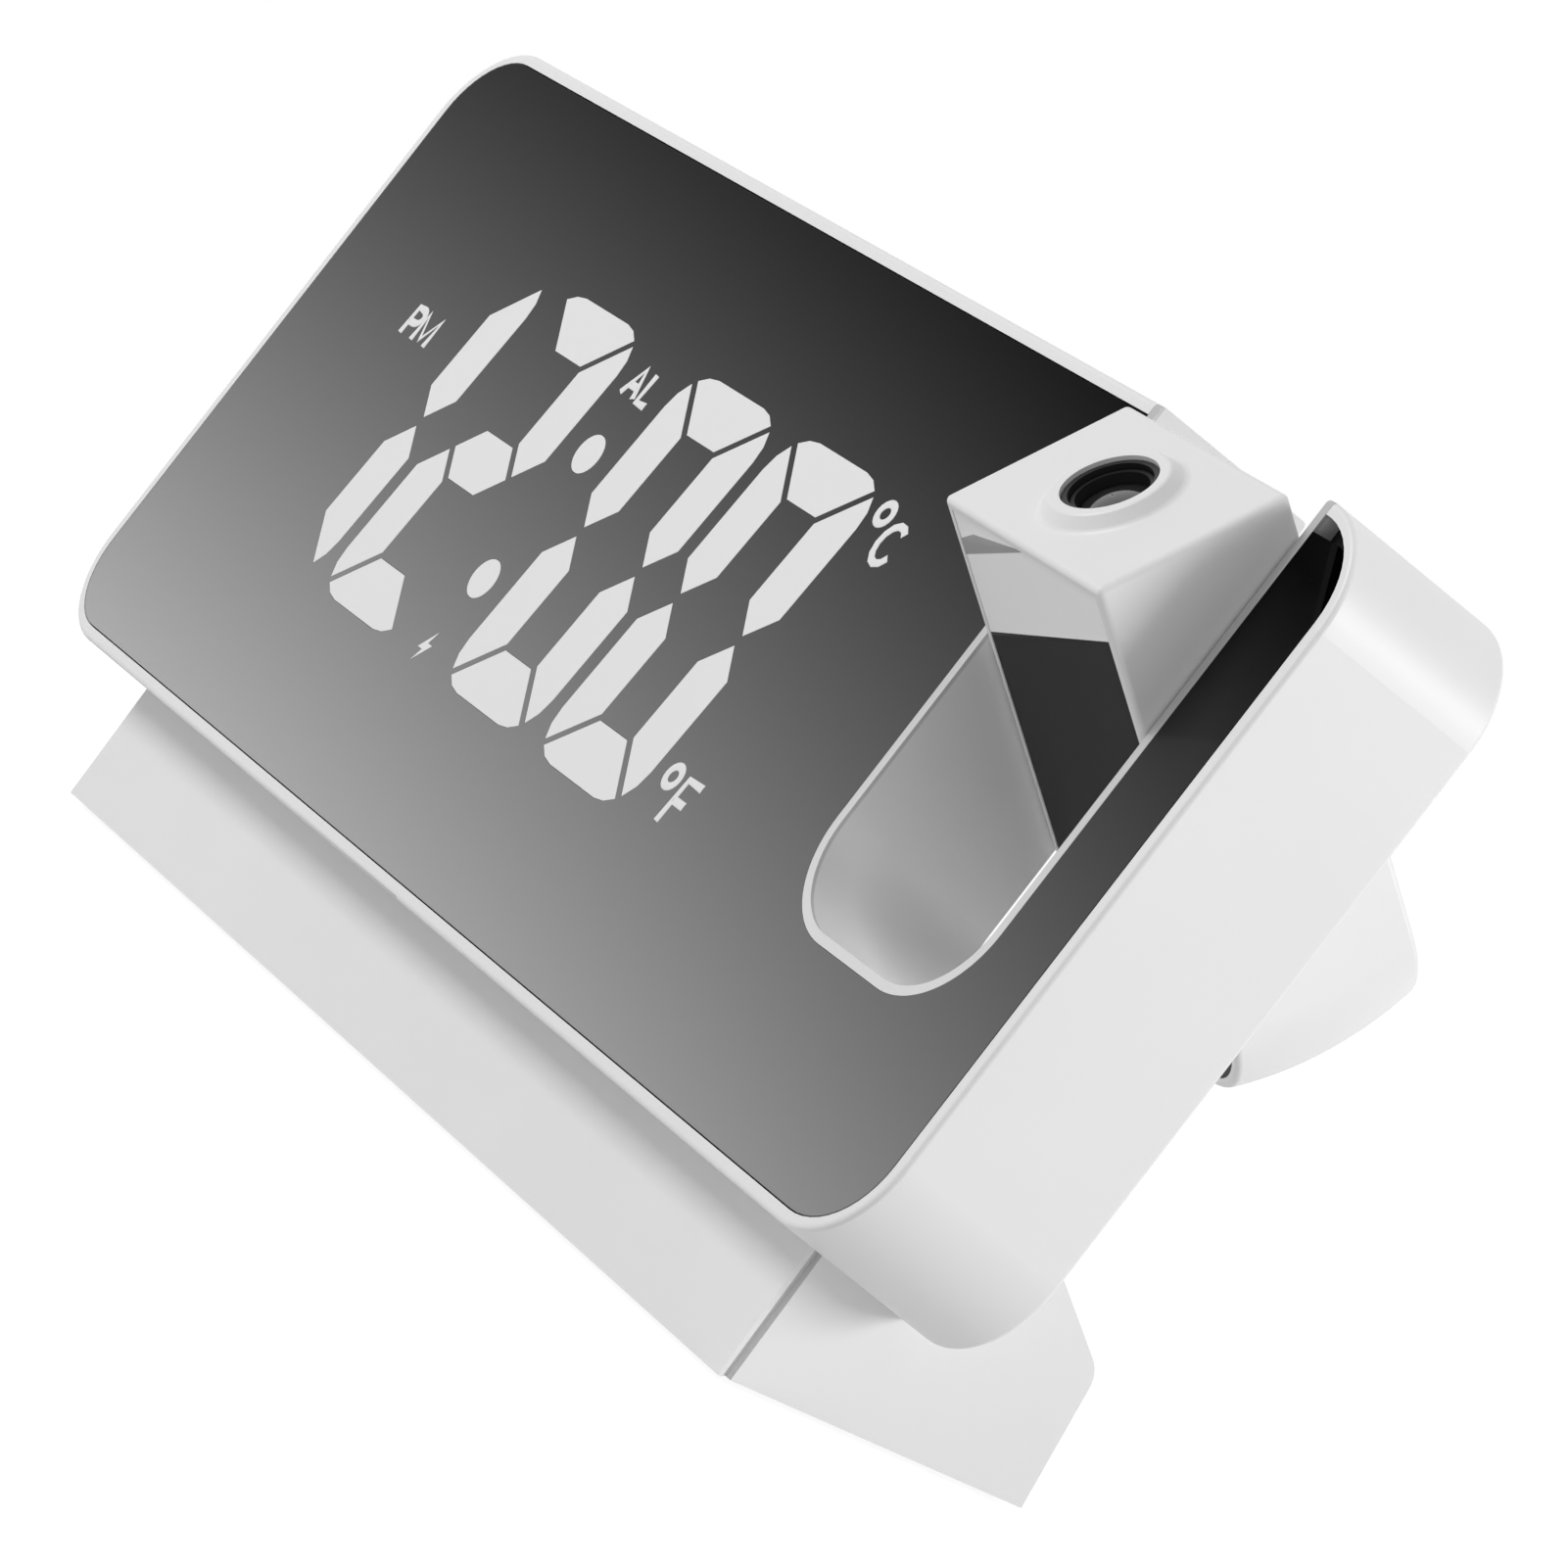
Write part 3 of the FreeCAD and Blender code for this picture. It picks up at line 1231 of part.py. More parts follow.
def make_projector():
    """The square tube behind the lens: lamp, condenser and image plate in a row."""
    half = "projector_width / 2"
    inner = f"({half} - projector_wall)"
    block = box("projector_block", (f"-{half}", f"-{half}", "projector_bottom"),
                (half, half, "projector_top"))
    hollow = box("projector_hollow", (f"-{inner}", f"-{inner}", "projector_bottom - 1"),
                 (inner, inner, "projector_top - projector_wall"))
    mouth = cylinder("projector_mouth", "Z", ("0", "0", "0"),
                     f"{LENS_CELL_OUTER} + focus_clearance", "projector_top + 1")
    finish(cut("projector_solid", block, [hollow, mouth]), "projector_tube", ARM_PLACE)

    fit = f"({inner} - seat_gap)"
    plate = box("image_plate_block", (f"-{fit}", f"-{fit}", "image_plate_place"),
                (fit, fit, "image_plate_place + image_plate_thickness"))
    finish(group("image_plate_group", [plate]), "image_plate", ARM_PLACE)
    condenser = lens("condenser_solid", "condenser_place", fit, "condenser_thickness",
                     "condenser_curve")
    finish(condenser, "condenser_lens", ARM_PLACE)
    board_top = "(projector_bottom + led_board_thickness)"
    board = box("led_board_block", (f"-{fit}", f"-{fit}", "projector_bottom"),
                (fit, fit, board_top))
    finish(group("led_board_group", [board]), "projector_led_board", ARM_PLACE)
    lamp = box("led_block", ("-led_size / 2", "-led_size / 2", f"{board_top} + seat_gap"),
               ("led_size / 2", "led_size / 2", f"{board_top} + seat_gap + led_thickness"))
    finish(group("led_group", [lamp]), "projector_led", ARM_PLACE)


# Wedge base, in the table's frame

HALF_BASE = "(base_width / 2)"
REST_SLOPE = "tan((lean_angle + case_draft) * 1 deg)"
REST_TOP = "(-case_height / 2 + (case_depth - base_setback) * tan(case_draft * 1 deg) - seat_gap)"
REST_LOW = "(-case_height / 2 - seat_gap)"
FRONT_TOP = tilted("base_setback", REST_TOP)
SCREW_SEAT = f"({REST_LOW} - base_wall)"
COVER_BACK = "(front_cover_thickness + seat_gap)"
GROOVE_BACK = f"({COVER_BACK} + groove_width)"
PLATE_TOP = "(foot_height + base_plate_thickness)"
PLATE_FRONT = f"(base_toe + {GROOVE_BACK} + base_wall)"
PLATE_REAR = "(base_rear - base_wall)"
PLATE_SIDE = f"({HALF_BASE} - base_wall)"
PLATE_SCREWS = [
    (x, y)
    for x in ("-plate_screw_x", "plate_screw_x")
    for y in ("plate_screw_front", "plate_screw_rear")
]
DOOR_SCREW_X = "(cell_x + door_screw_offset)"


def rest_point(back):
    """A point on the line under the case, at a distance behind the front of the base."""
    return f"{FRONT_TOP[0]} + {back}", f"{FRONT_TOP[1]} - {back} * {REST_SLOPE}"


def make_base_form():
    """The outside of the base: a wedge with a notch for the case and a round rear edge."""
    body = doc.addObject("PartDesign::Body", "base_form")
    sketch = base_sketch(body, "base_profile", "YZ_Plane")
    polygon(sketch, [
        (f"base_toe + {GROOVE_BACK}", "foot_height"),
        ("base_rear", "foot_height"),
        ("base_rear", "base_rear_height"),
        tilted("case_depth + seat_gap", "base_climb - case_height / 2"),
        tilted("case_depth + seat_gap", REST_LOW),
        rest_point(GROOVE_BACK),
    ])
    form = body.newObject("PartDesign::Pad", "base_pad")
    form.Profile = sketch
    form.Midplane = True
    bind(form, "Length", "base_width")
    run = along("X")
    rear = size("base_rear")
    height = size("base_rear_height")

    def rear_edge(edge):
        middle = centre(edge)
        return run(edge) and abs(middle.y - rear) < 0.01 and abs(middle.z - height) < 0.01

    fillet(body, "base_rear_round", rear_edge, "base_round")
    return body


def make_base_shell():
    neck = prism("base_neck", "side", [
        (f"base_toe + {COVER_BACK}", "foot_height"),
        (f"base_toe + {GROOVE_BACK} + 1", "foot_height"),
        rest_point(f"({GROOVE_BACK} + 1)"),
        rest_point(COVER_BACK),
    ], f"groove_depth - {HALF_BASE}", f"{HALF_BASE} - groove_depth")
    cavity = prism("base_cavity", "side", [
        (PLATE_FRONT, "-1"),
        (PLATE_REAR, "-1"),
        (PLATE_REAR, "base_rear_height - base_wall"),
        tilted("case_depth + seat_gap + base_wall",
               "base_climb - case_height / 2 - 1.5 * base_wall"),
        tilted("case_depth + seat_gap + base_wall", SCREW_SEAT),
        tilted(f"base_setback + {GROOVE_BACK} + base_wall", SCREW_SEAT),
        (PLATE_FRONT, f"{PLATE_TOP} + seat_gap"),
    ], f"-{PLATE_SIDE}", PLATE_SIDE)
    posts = []
    holes = []
    for i, (x, y) in enumerate(PLATE_SCREWS):
        posts.append(cylinder(f"plate_post_{i}", "Z", (x, y, f"{PLATE_TOP} + seat_gap"),
                              "post_radius", "case_height"))
        holes.append(cylinder(f"plate_pilot_{i}", "Z", (x, y, "0"), PILOT,
                              f"{PLATE_TOP} + screw_length"))
    for i, x in enumerate(CASE_SCREWS):
        tool = cylinder(f"case_hole_{i}", "Z", (x, "base_boss_depth", f"{SCREW_SEAT} - 1"),
                        SCREW_HOLE, "base_wall + 3")
        moved = group(f"case_hole_tool_{i}", [tool])
        moved.Placement = LEAN_PLACE
        holes.append(moved)
    blank = fuse("base_blank", [make_base_form(), neck])
    walls = cut("base_walls", blank, [cut("base_hollow", cavity, posts)])
    finish(cut("base_solid", walls, [group("base_holes", holes)]), "base_shell", TABLE_PLACE)
    screws = [
        screw(f"case_screw_{i}", "Z", (x, "base_boss_depth", SCREW_SEAT), True)
        for i, x in enumerate(CASE_SCREWS)
    ]
    finish(group("case_screws", screws), "case_to_base_screws", CASE_PLACE)


def make_base_front_cover():
    cover = prism("front_cover_solid", "side", [
        ("base_toe", "foot_height"),
        ("base_toe + front_cover_thickness", "foot_height"),
        rest_point("front_cover_thickness"),
        FRONT_TOP,
    ], f"-{HALF_BASE}", HALF_BASE)
    finish(cover, "base_front_cover", TABLE_PLACE)


def door_block(name, low, high, grow):
    """The coin cell door's outline as a block, grown on all sides."""
    half_long = f"(door_length / 2 + {grow})"
    half_wide = f"(door_width / 2 + {grow})"
    middle = "(cell_x + door_offset)"
    return rounded_block(name, "Z", (f"{middle} - {half_long}", f"cell_y - {half_wide}", low),
                         (f"{middle} + {half_long}", f"cell_y + {half_wide}", high),
                         "door_corner")


def make_base_plate():
    """The floor of the base, with an opening for the coin cell's door."""
    low = ("-" + PLATE_SIDE + " + seat_gap", f"{PLATE_FRONT} + seat_gap", "foot_height")
    high = (f"{PLATE_SIDE} - seat_gap", f"{PLATE_REAR} - seat_gap", PLATE_TOP)
    holes = [door_block("door_opening", "0", f"{PLATE_TOP} + 1", "seat_gap")]
    for i, (x, y) in enumerate(PLATE_SCREWS):
        holes.append(cylinder(f"plate_hole_{i}", "Z", (x, y, "0"), SCREW_HOLE, f"{PLATE_TOP} + 1"))
        holes.append(cylinder(f"plate_sink_{i}", "Z", (x, y, "0"), HEAD_HOLE,
                              "foot_height + screw_head_thickness"))
    finish(cut("plate_solid", box("plate_block", low, high), holes), "base_plate", TABLE_PLACE)
    screws = [
        screw(f"plate_screw_{i}", "Z", (x, y, "foot_height + screw_head_thickness"), True)
        for i, (x, y) in enumerate(PLATE_SCREWS)
    ]
    finish(group("plate_screws", screws), "base_plate_screws", TABLE_PLACE)


def make_rubber_feet():
    feet = [
        rounded_block(f"foot_{i}", "Z", ("-foot_length / 2", f"{y} - foot_width / 2", "0"),
                      ("foot_length / 2", f"{y} + foot_width / 2", "foot_height"),
                      "foot_width / 2 - 0.01")
        for i, y in enumerate(("foot_front_y", "foot_rear_y"))
    ]
    finish(group("feet", feet), "rubber_feet", TABLE_PLACE)


DOOR_TOP = "(foot_height + door_thickness)"
CELL_LOW = f"({DOOR_TOP} + seat_gap)"
CELL_TOP = f"({CELL_LOW} + cell_thickness)"
HOLDER_LOW = f"({PLATE_TOP} + seat_gap)"
HOLDER_ROOF = f"({CELL_TOP} + contact_thickness + 2 * seat_gap)"


def make_cell_parts():
    """The coin cell, its holder and contacts, and the screwed door under it."""
    half_wide = "(cell_radius + cell_gap + holder_wall)"
    block = box("holder_block",
                (f"cell_x - {half_wide}", f"cell_y - {half_wide}", HOLDER_LOW),
                (f"{DOOR_SCREW_X} + post_radius + 1", f"cell_y + {half_wide}",
                 f"{HOLDER_ROOF} + holder_roof"))
    pit = cylinder("holder_pit", "Z", ("cell_x", "cell_y", "0"), "cell_radius + cell_gap",
                   HOLDER_ROOF)
    pilot = cylinder("holder_pilot", "Z", (DOOR_SCREW_X, "cell_y", "0"), PILOT, "case_height")
    finish(cut("holder_solid", block, [pit, pilot]), "cell_holder", TABLE_PLACE)
    cell = cylinder("cell_can", "Z", ("cell_x", "cell_y", CELL_LOW), "cell_radius",
                    "cell_thickness")
    finish(group("cell", [cell]), "coin_cell", TABLE_PLACE)
    half = "contact_width / 2"
    over = box("contact_over",
               ("cell_x - contact_length / 2", f"cell_y - {half}", f"{CELL_TOP} + seat_gap"),
               ("cell_x + contact_length / 2", f"cell_y + {half}",
                f"{CELL_TOP} + seat_gap + contact_thickness"))
    side = box("contact_side",
               ("cell_x - cell_radius - seat_gap - contact_thickness", f"cell_y - {half}",
                HOLDER_LOW),
               ("cell_x - cell_radius - seat_gap", f"cell_y + {half}", CELL_TOP))
    finish(group("contacts", [over, side]), "cell_contacts", TABLE_PLACE)
    seat = "(foot_height + screw_head_thickness)"
    way = cylinder("door_way", "Z", (DOOR_SCREW_X, "cell_y", "0"), SCREW_HOLE, "case_height")
    sink = cylinder("door_sink", "Z", (DOOR_SCREW_X, "cell_y", "0"), HEAD_HOLE, seat)
    door = cut("door_solid", door_block("door_plate", "foot_height", DOOR_TOP, "0"), [way, sink])
    finish(door, "battery_door", TABLE_PLACE)
    bolt = screw("door_bolt", "Z", (DOOR_SCREW_X, "cell_y", seat), True)
    finish(group("door_bolts", [bolt]), "battery_door_screw", TABLE_PLACE)


for make in (
    make_front_housing,
    make_arm_recess_frame,
    make_mirror_panel,
    make_lit_numerals,
    make_panel_gasket,
    make_mask_and_guides,
    make_display_leds,
    make_boards,
    make_main_board_parts,
    make_alarm_buzzer,
    make_switches,
    make_power_socket,
    make_rear_cover,
    make_buttons,
    make_snooze_bar,
    make_arm_housing,
    make_arm_mirror,
    make_pivots,
    make_focus_parts,
    make_projector,
    make_base_shell,
    make_base_front_cover,
    make_base_plate,
    make_rubber_feet,
    make_cell_parts,
):
    make()

# Write the parts


def failed(item):
    return any(word in ("Invalid", "Error") for word in item.State)


doc.recompute()
for item in doc.Objects:
    if failed(item):
        raise SystemExit(f"{item.Name} failed: {item.State}")
os.makedirs("parts", exist_ok=True)
for piece in pieces:
    shape = piece.Shape
    if shape.isNull() or not shape.isValid():
        raise SystemExit(f"{piece.Label} has no valid shape")
    shape.exportStep(f"parts/{piece.Label}.step")
    bounds = shape.BoundBox
    print(f"{piece.Label:24s} {len(shape.Solids):3d} {shape.Volume:10.1f} "
          f"x {bounds.XMin:.1f} {bounds.XMax:.1f} y {bounds.YMin:.1f} {bounds.YMax:.1f} "
          f"z {bounds.ZMin:.1f} {bounds.ZMax:.1f}")
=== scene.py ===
# Looks of the projection alarm clock: materials, printed marks, floor, lamps and camera.
# Metres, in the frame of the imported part. Places on the display are given in millimetres.

import json
import math

import bpy
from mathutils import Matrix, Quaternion, Vector


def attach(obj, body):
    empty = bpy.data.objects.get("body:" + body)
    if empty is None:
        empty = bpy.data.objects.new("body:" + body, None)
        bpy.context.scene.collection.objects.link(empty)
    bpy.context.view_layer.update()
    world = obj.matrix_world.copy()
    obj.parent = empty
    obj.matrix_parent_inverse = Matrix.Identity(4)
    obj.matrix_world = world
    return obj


MM = 0.001

# The case's own frame: x to the right, back from the glass, up along the display

LEAN = math.radians(10.0)
GLASS_CENTRE = Vector((0.0, -3.4, 53.4075)) * MM

# Camera, fitted to the display's four edges in the photograph

CAMERA_AIM = Vector((12.26, 13.885, 42.768)) * MM
CAMERA_AZIMUTH = math.radians(57.637)
CAMERA_ELEVATION = math.radians(4.123)
CAMERA_ROLL = math.radians(29.29)
CAMERA_DISTANCE = 660.0 * MM
CAMERA_LENS = 160.325
CAMERA_SENSOR = 36.0

# Soft square lamps that point at the clock: place, side in metres and power in watts

LAMPS = {
    "side_lamp": (Vector((1.15, 1.0, 0.48)), 0.6, 14.0),
    "front_lamp": (Vector((-0.4, -1.15, 0.87)), 0.5, 10.3),
}

# The floor and the world. Both are white where the camera, a gloss or a glass sees them.

FLOOR_SIZE = 12.0
FLOOR_COLOR = (0.72, 0.72, 0.72)
FLOOR_GLOW = 1.24
FLOOR_GLOW_SHARE = 0.75
WORLD_LEVEL = 0.42

# Fine surfaces: how many grains or soft patches to the metre, and how deep the grain is

PATCHES_ON_PLASTIC = 60.0
PATCHES_ON_METAL = 300.0
GRAINS_ON_PLASTIC = 4000.0
GRAINS_ON_METAL = 6000.0
GRAIN_STRENGTH = 0.25
GRAIN_DEPTH = 0.01 * MM

# The glass's painted reflection: its tone falls with height and to the right, in steps of 0 to
# 255

GLASS_REFLECTION_MIDDLE = 100.0
GLASS_REFLECTION_PER_MM_UP = 1.62
GLASS_REFLECTION_PER_MM_RIGHT = 0.18
GLASS_REFLECTION_BEND = 0.00084
FULL_TONE = 255.0
SCREEN_GAMMA = 2.2

# What the lamps and the gloss add to the glass's colour

GLASS_ROUGHNESS = 0.04
GLASS_SHINE = 0.02
SHINE_SHARE = 0.006
GLASS_LIGHT = 0.87
DARKEST_GLASS = 0.002

# The arm's mirror: dark glass with a painted reflection, a pale zone at the lens end with a
# slanting lower edge.
# Each line has its height above the pivots at the arm's middle, and its slope to the right.

ARM_TILT = math.radians(61.0)
ARM_PIVOT = (67.6, 9.6, 18.4)
ARM_MIRROR_DARK = (0.035, 0.035, 0.036)
ARM_MIRROR_PALE_REFLECTION = (0.95, 0.95, 0.95)
PALE_REFLECTION_LINE = (10.6, 0.308)

# A grey wedge of painted reflection across the pale zone, between a lower line and two upper
# ones

REFLECTED_WEDGE_LOWER_LINE = (19.05, 0.347)
REFLECTED_WEDGE_UPPER_LINES = ((21.95, 0.44), (19.18, 0.167))
REFLECTED_WEDGE_SHARE = 0.6

# The slot's liner has painted shade: greyer towards the top and on its rim

LINER_LOW = -16.0
LINER_HIGH = 20.0
LINER_LOW_COLOR = (0.97, 0.97, 0.97)
LINER_SHADED_HIGH_COLOR = (0.66, 0.66, 0.66)
LINER_RIM_DEPTH = 0.4
LINER_RIM_SHADE_SHARE = 0.75
SHELL_ROUGHNESS = 0.42

# Printed marks

MARK_SLANT = 0.08
MARK_PROUD = 0.05
MARK_STROKE = 0.46
MARK_ROUNDING = 3

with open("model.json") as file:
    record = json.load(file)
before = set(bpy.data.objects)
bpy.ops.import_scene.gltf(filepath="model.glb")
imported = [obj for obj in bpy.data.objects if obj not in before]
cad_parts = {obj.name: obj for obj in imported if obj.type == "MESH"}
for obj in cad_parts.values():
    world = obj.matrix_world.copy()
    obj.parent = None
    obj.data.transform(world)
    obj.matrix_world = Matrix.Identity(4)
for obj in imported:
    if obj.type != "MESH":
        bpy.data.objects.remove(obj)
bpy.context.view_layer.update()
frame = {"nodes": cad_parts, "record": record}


def case_vector(right, back, up):
    """A direction in the case's frame, turned into the frame of the part."""
    return Vector((
        right,
        back * math.cos(LEAN) + up * math.sin(LEAN),
        up * math.cos(LEAN) - back * math.sin(LEAN),
    ))


def case_point(right, back, up):
    """A place in the case's frame, in millimetres, as a place in the frame of the part."""
    return GLASS_CENTRE + case_vector(right, back, up) * MM


# Node helpers


def new_material(name, roughness, specular=0.5):
    """A material with its node tree and its shader."""
    material = bpy.data.materials.new(name)
    material.use_nodes = True
    shader = material.node_tree.nodes["Principled BSDF"]
    shader.inputs["Roughness"].default_value = roughness
    shader.inputs["Specular IOR Level"].default_value = specular
    return material, material.node_tree, shader


def add(tree, kind, **settings):
    """A node of a kind with its settings."""
    node = tree.nodes.new(kind)
    for name, value in settings.items():
        setattr(node, name, value)
    return node


def math_node(tree, operation, first, second):
    """A maths node whose inputs are sockets or plain numbers."""
    node = add(tree, "ShaderNodeMath", operation=operation)
    for socket, value in zip(node.inputs, (first, second)):
        if isinstance(value, (int, float)):
            socket.default_value = value
        else:
            tree.links.new(value, socket)
    return node.outputs[0]


def object_place(tree):
    """The place on the surface in the object's own frame, so patterns move with the object."""
    return add(tree, "ShaderNodeTexCoord").outputs["Object"]


def noise(tree, per_metre, detail=2.0):
    """Soft noise from 0 to 1, fixed to the object."""
    node = add(tree, "ShaderNodeTexNoise")
    node.inputs["Scale"].default_value = per_metre
    node.inputs["Detail"].default_value = detail
    tree.links.new(object_place(tree), node.inputs["Vector"])
    return node.outputs["Fac"]


def blend(tree, share, first, second):
    """A colour that goes from the first to the second as the share goes from 0 to 1."""
    ramp = add(tree, "ShaderNodeValToRGB")
    for stop, color in zip(ramp.color_ramp.elements, (first, second)):
        stop.color = [*color, 1.0]
    tree.links.new(share, ramp.inputs["Fac"])
    return ramp.outputs["Color"]


def mottle(tree, shader, color, spread, per_metre):
    """The base colour, a little darker and lighter in soft patches."""
    darker = [channel * (1.0 - spread) for channel in color]
    lighter = [min(1.0, channel * (1.0 + spread)) for channel in color]
    patches = blend(tree, noise(tree, per_metre), darker, lighter)
    tree.links.new(patches, shader.inputs["Base Color"])


def grain(tree, shader, per_metre):
    """A fine uneven surface."""
    bump = add(tree, "ShaderNodeBump")
    bump.inputs["Strength"].default_value = GRAIN_STRENGTH
    bump.inputs["Distance"].default_value = GRAIN_DEPTH
    tree.links.new(noise(tree, per_metre, 4.0), bump.inputs["Height"])
    tree.links.new(bump.outputs["Normal"], shader.inputs["Normal"])


def measure_along(tree, direction, origin):
    """How far a point of the surface lies along a direction from an origin, in millimetres."""
    away = add(tree, "ShaderNodeVectorMath", operation="SUBTRACT")
    tree.links.new(object_place(tree), away.inputs[0])
    away.inputs[1].default_value = origin
    dot = add(tree, "ShaderNodeVectorMath", operation="DOT_PRODUCT")
    tree.links.new(away.outputs["Vector"], dot.inputs[0])
    dot.inputs[1].default_value = direction / MM
    return dot.outputs["Value"]


def above_line(tree, along, right, line):
    """1 where the arm's mirror lies above a slanting line, and 0 below it."""
    height, slope = line
    edge = math_node(tree, "ADD", math_node(tree, "MULTIPLY", right, slope), height)
    return math_node(tree, "GREATER_THAN", along, edge)


def seen(tree):
    """1 for rays from the camera, off a gloss or through a glass, and 0 for other light."""
    path = add(tree, "ShaderNodeLightPath")
    camera_or_gloss = math_node(
        tree, "MAXIMUM", path.outputs["Is Camera Ray"], path.outputs["Is Glossy Ray"])
    return math_node(tree, "MAXIMUM", camera_or_gloss, path.outputs["Is Transmission Ray"])


# Materials


def plastic(name, color, roughness, specular=0.5, spread=0.02):
    """Moulded plastic, foam, rubber or board."""
    material, tree, shader = new_material(name, roughness, specular)
    mottle(tree, shader, color, spread, PATCHES_ON_PLASTIC)
    grain(tree, shader, GRAINS_ON_PLASTIC)
    return material


def metal(name, color, roughness):
    """Plated or plain steel."""
    material, tree, shader = new_material(name, roughness)
    shader.inputs["Metallic"].default_value = 1.0
    mottle(tree, shader, color, 0.06, PATCHES_ON_METAL)
    grain(tree, shader, GRAINS_ON_METAL)
    return material


def mirror_glass():
    """The half-silvered panel, with a painted reflection that is dark at the top and greyer
    towards the table.
    """
    material, tree, shader = new_material("mirror_glass", GLASS_ROUGHNESS, GLASS_SHINE)
    up = measure_along(tree, case_vector(0, 0, 1), GLASS_CENTRE)
    right = measure_along(tree, case_vector(1, 0, 0), GLASS_CENTRE)
    fall_up = math_node(tree, "MULTIPLY", up, -GLASS_REFLECTION_PER_MM_UP)
    fall_right = math_node(tree, "MULTIPLY", right, -GLASS_REFLECTION_PER_MM_RIGHT)
    bend = math_node(tree, "MULTIPLY", math_node(tree, "POWER", right, 2.0), -GLASS_REFLECTION_BEND)
    # This tone is a painted reflection, set into the base colour
    tone = GLASS_REFLECTION_MIDDLE
    for change in (fall_up, fall_right, bend):
        tone = math_node(tree, "ADD", change, tone)
    share = math_node(tree, "MAXIMUM", math_node(tree, "DIVIDE", tone, FULL_TONE), 0.0)
    level = math_node(tree, "POWER", share, SCREEN_GAMMA)
    level = math_node(tree, "DIVIDE", level, GLASS_LIGHT)
    level = math_node(tree, "SUBTRACT", level, SHINE_SHARE)
    level = math_node(tree, "MAXIMUM", level, DARKEST_GLASS)
    grey = add(tree, "ShaderNodeCombineColor")
    for socket in grey.inputs:
        tree.links.new(level, socket)
    tree.links.new(grey.outputs["Color"], shader.inputs["Base Color"])
    return material


def pale_reflection_without_wedge(tree, along, right):
    """1 on the arm's mirror, and less where the grey wedge of painted reflection crosses it.
    """
    # The grey wedge is a painted reflection that dims the pale zone
    reflected_wedge = above_line(tree, along, right, REFLECTED_WEDGE_LOWER_LINE)
    for line in REFLECTED_WEDGE_UPPER_LINES:
        below = math_node(tree, "SUBTRACT", 1.0, above_line(tree, along, right, line))
        reflected_wedge = math_node(tree, "MULTIPLY", reflected_wedge, below)
    return math_node(tree, "SUBTRACT", 1.0, math_node(tree, "MULTIPLY", reflected_wedge, REFLECTED_WEDGE_SHARE))


def arm_mirror_glass():
    """The arm's mirror, with a painted pale reflection near the lens and dark below a slanting
    line.
    """
    material, tree, shader = new_material("arm_mirror_glass", GLASS_ROUGHNESS, GLASS_SHINE)
    axis = case_vector(0, -math.sin(ARM_TILT), math.cos(ARM_TILT))
    pivot = case_point(*ARM_PIVOT)
    along = measure_along(tree, axis, pivot)
    right = measure_along(tree, case_vector(1, 0, 0), pivot)
    # The pale zone near the lens is a painted reflection
    pale_reflection = above_line(tree, along, right, PALE_REFLECTION_LINE)
    pale_reflection = math_node(tree, "MULTIPLY", pale_reflection, pale_reflection_without_wedge(tree, along, right))
    color = blend(tree, pale_reflection, ARM_MIRROR_DARK, ARM_MIRROR_PALE_REFLECTION)
    tree.links.new(color, shader.inputs["Base Color"])
    return material


def slot_liner_painted_shade():
    """White plastic with painted shade, greyer towards the top of the slot and on its rim."""
    material, tree, shader = new_material("slot_liner_painted_shade", SHELL_ROUGHNESS)
    # Painted shade: the liner greys towards the top of the slot
    up = measure_along(tree, case_vector(0, 0, 1), GLASS_CENTRE)
    rise = math_node(tree, "SUBTRACT", up, LINER_LOW)
    share = math_node(tree, "DIVIDE", rise, LINER_HIGH - LINER_LOW)
    # Painted shade: the liner is darker on its front rim
    back = measure_along(tree, case_vector(0, 1, 0), GLASS_CENTRE)
    rim = math_node(tree, "LESS_THAN", back, LINER_RIM_DEPTH)
    rim_shade = math_node(tree, "MULTIPLY", rim, 1.0 - LINER_RIM_SHADE_SHARE)
    shaded = add(tree, "ShaderNodeVectorMath", operation="SCALE")
    tree.links.new(blend(tree, share, LINER_LOW_COLOR, LINER_SHADED_HIGH_COLOR), shaded.inputs[0])
    tree.links.new(math_node(tree, "SUBTRACT", 1.0, rim_shade), shaded.inputs["Scale"])
    tree.links.new(shaded.outputs["Vector"], shader.inputs["Base Color"])
    grain(tree, shader, GRAINS_ON_PLASTIC)
    return material


def lit_segment():
    """White numerals and marks that glow a little."""
    material, tree, shader = new_material("lit_segment", 0.4)
    mottle(tree, shader, (0.74, 0.74, 0.74), 0.01, 80.0)
    shader.inputs["Emission Color"].default_value = (1.0, 1.0, 1.0, 1.0)
    shader.inputs["Emission Strength"].default_value = 0.05
    return material


def lens_glass():
    """Coated glass over a black barrel."""
    material, tree, shader = new_material("optical_glass", 0.03, 0.6)
    mottle(tree, shader, (0.02, 0.02, 0.022), 0.1, 200.0)
    shader.inputs["Coat Weight"].default_value = 0.6
    return material


# The plastics and metals have their colour, roughness, specular level and spread of patches

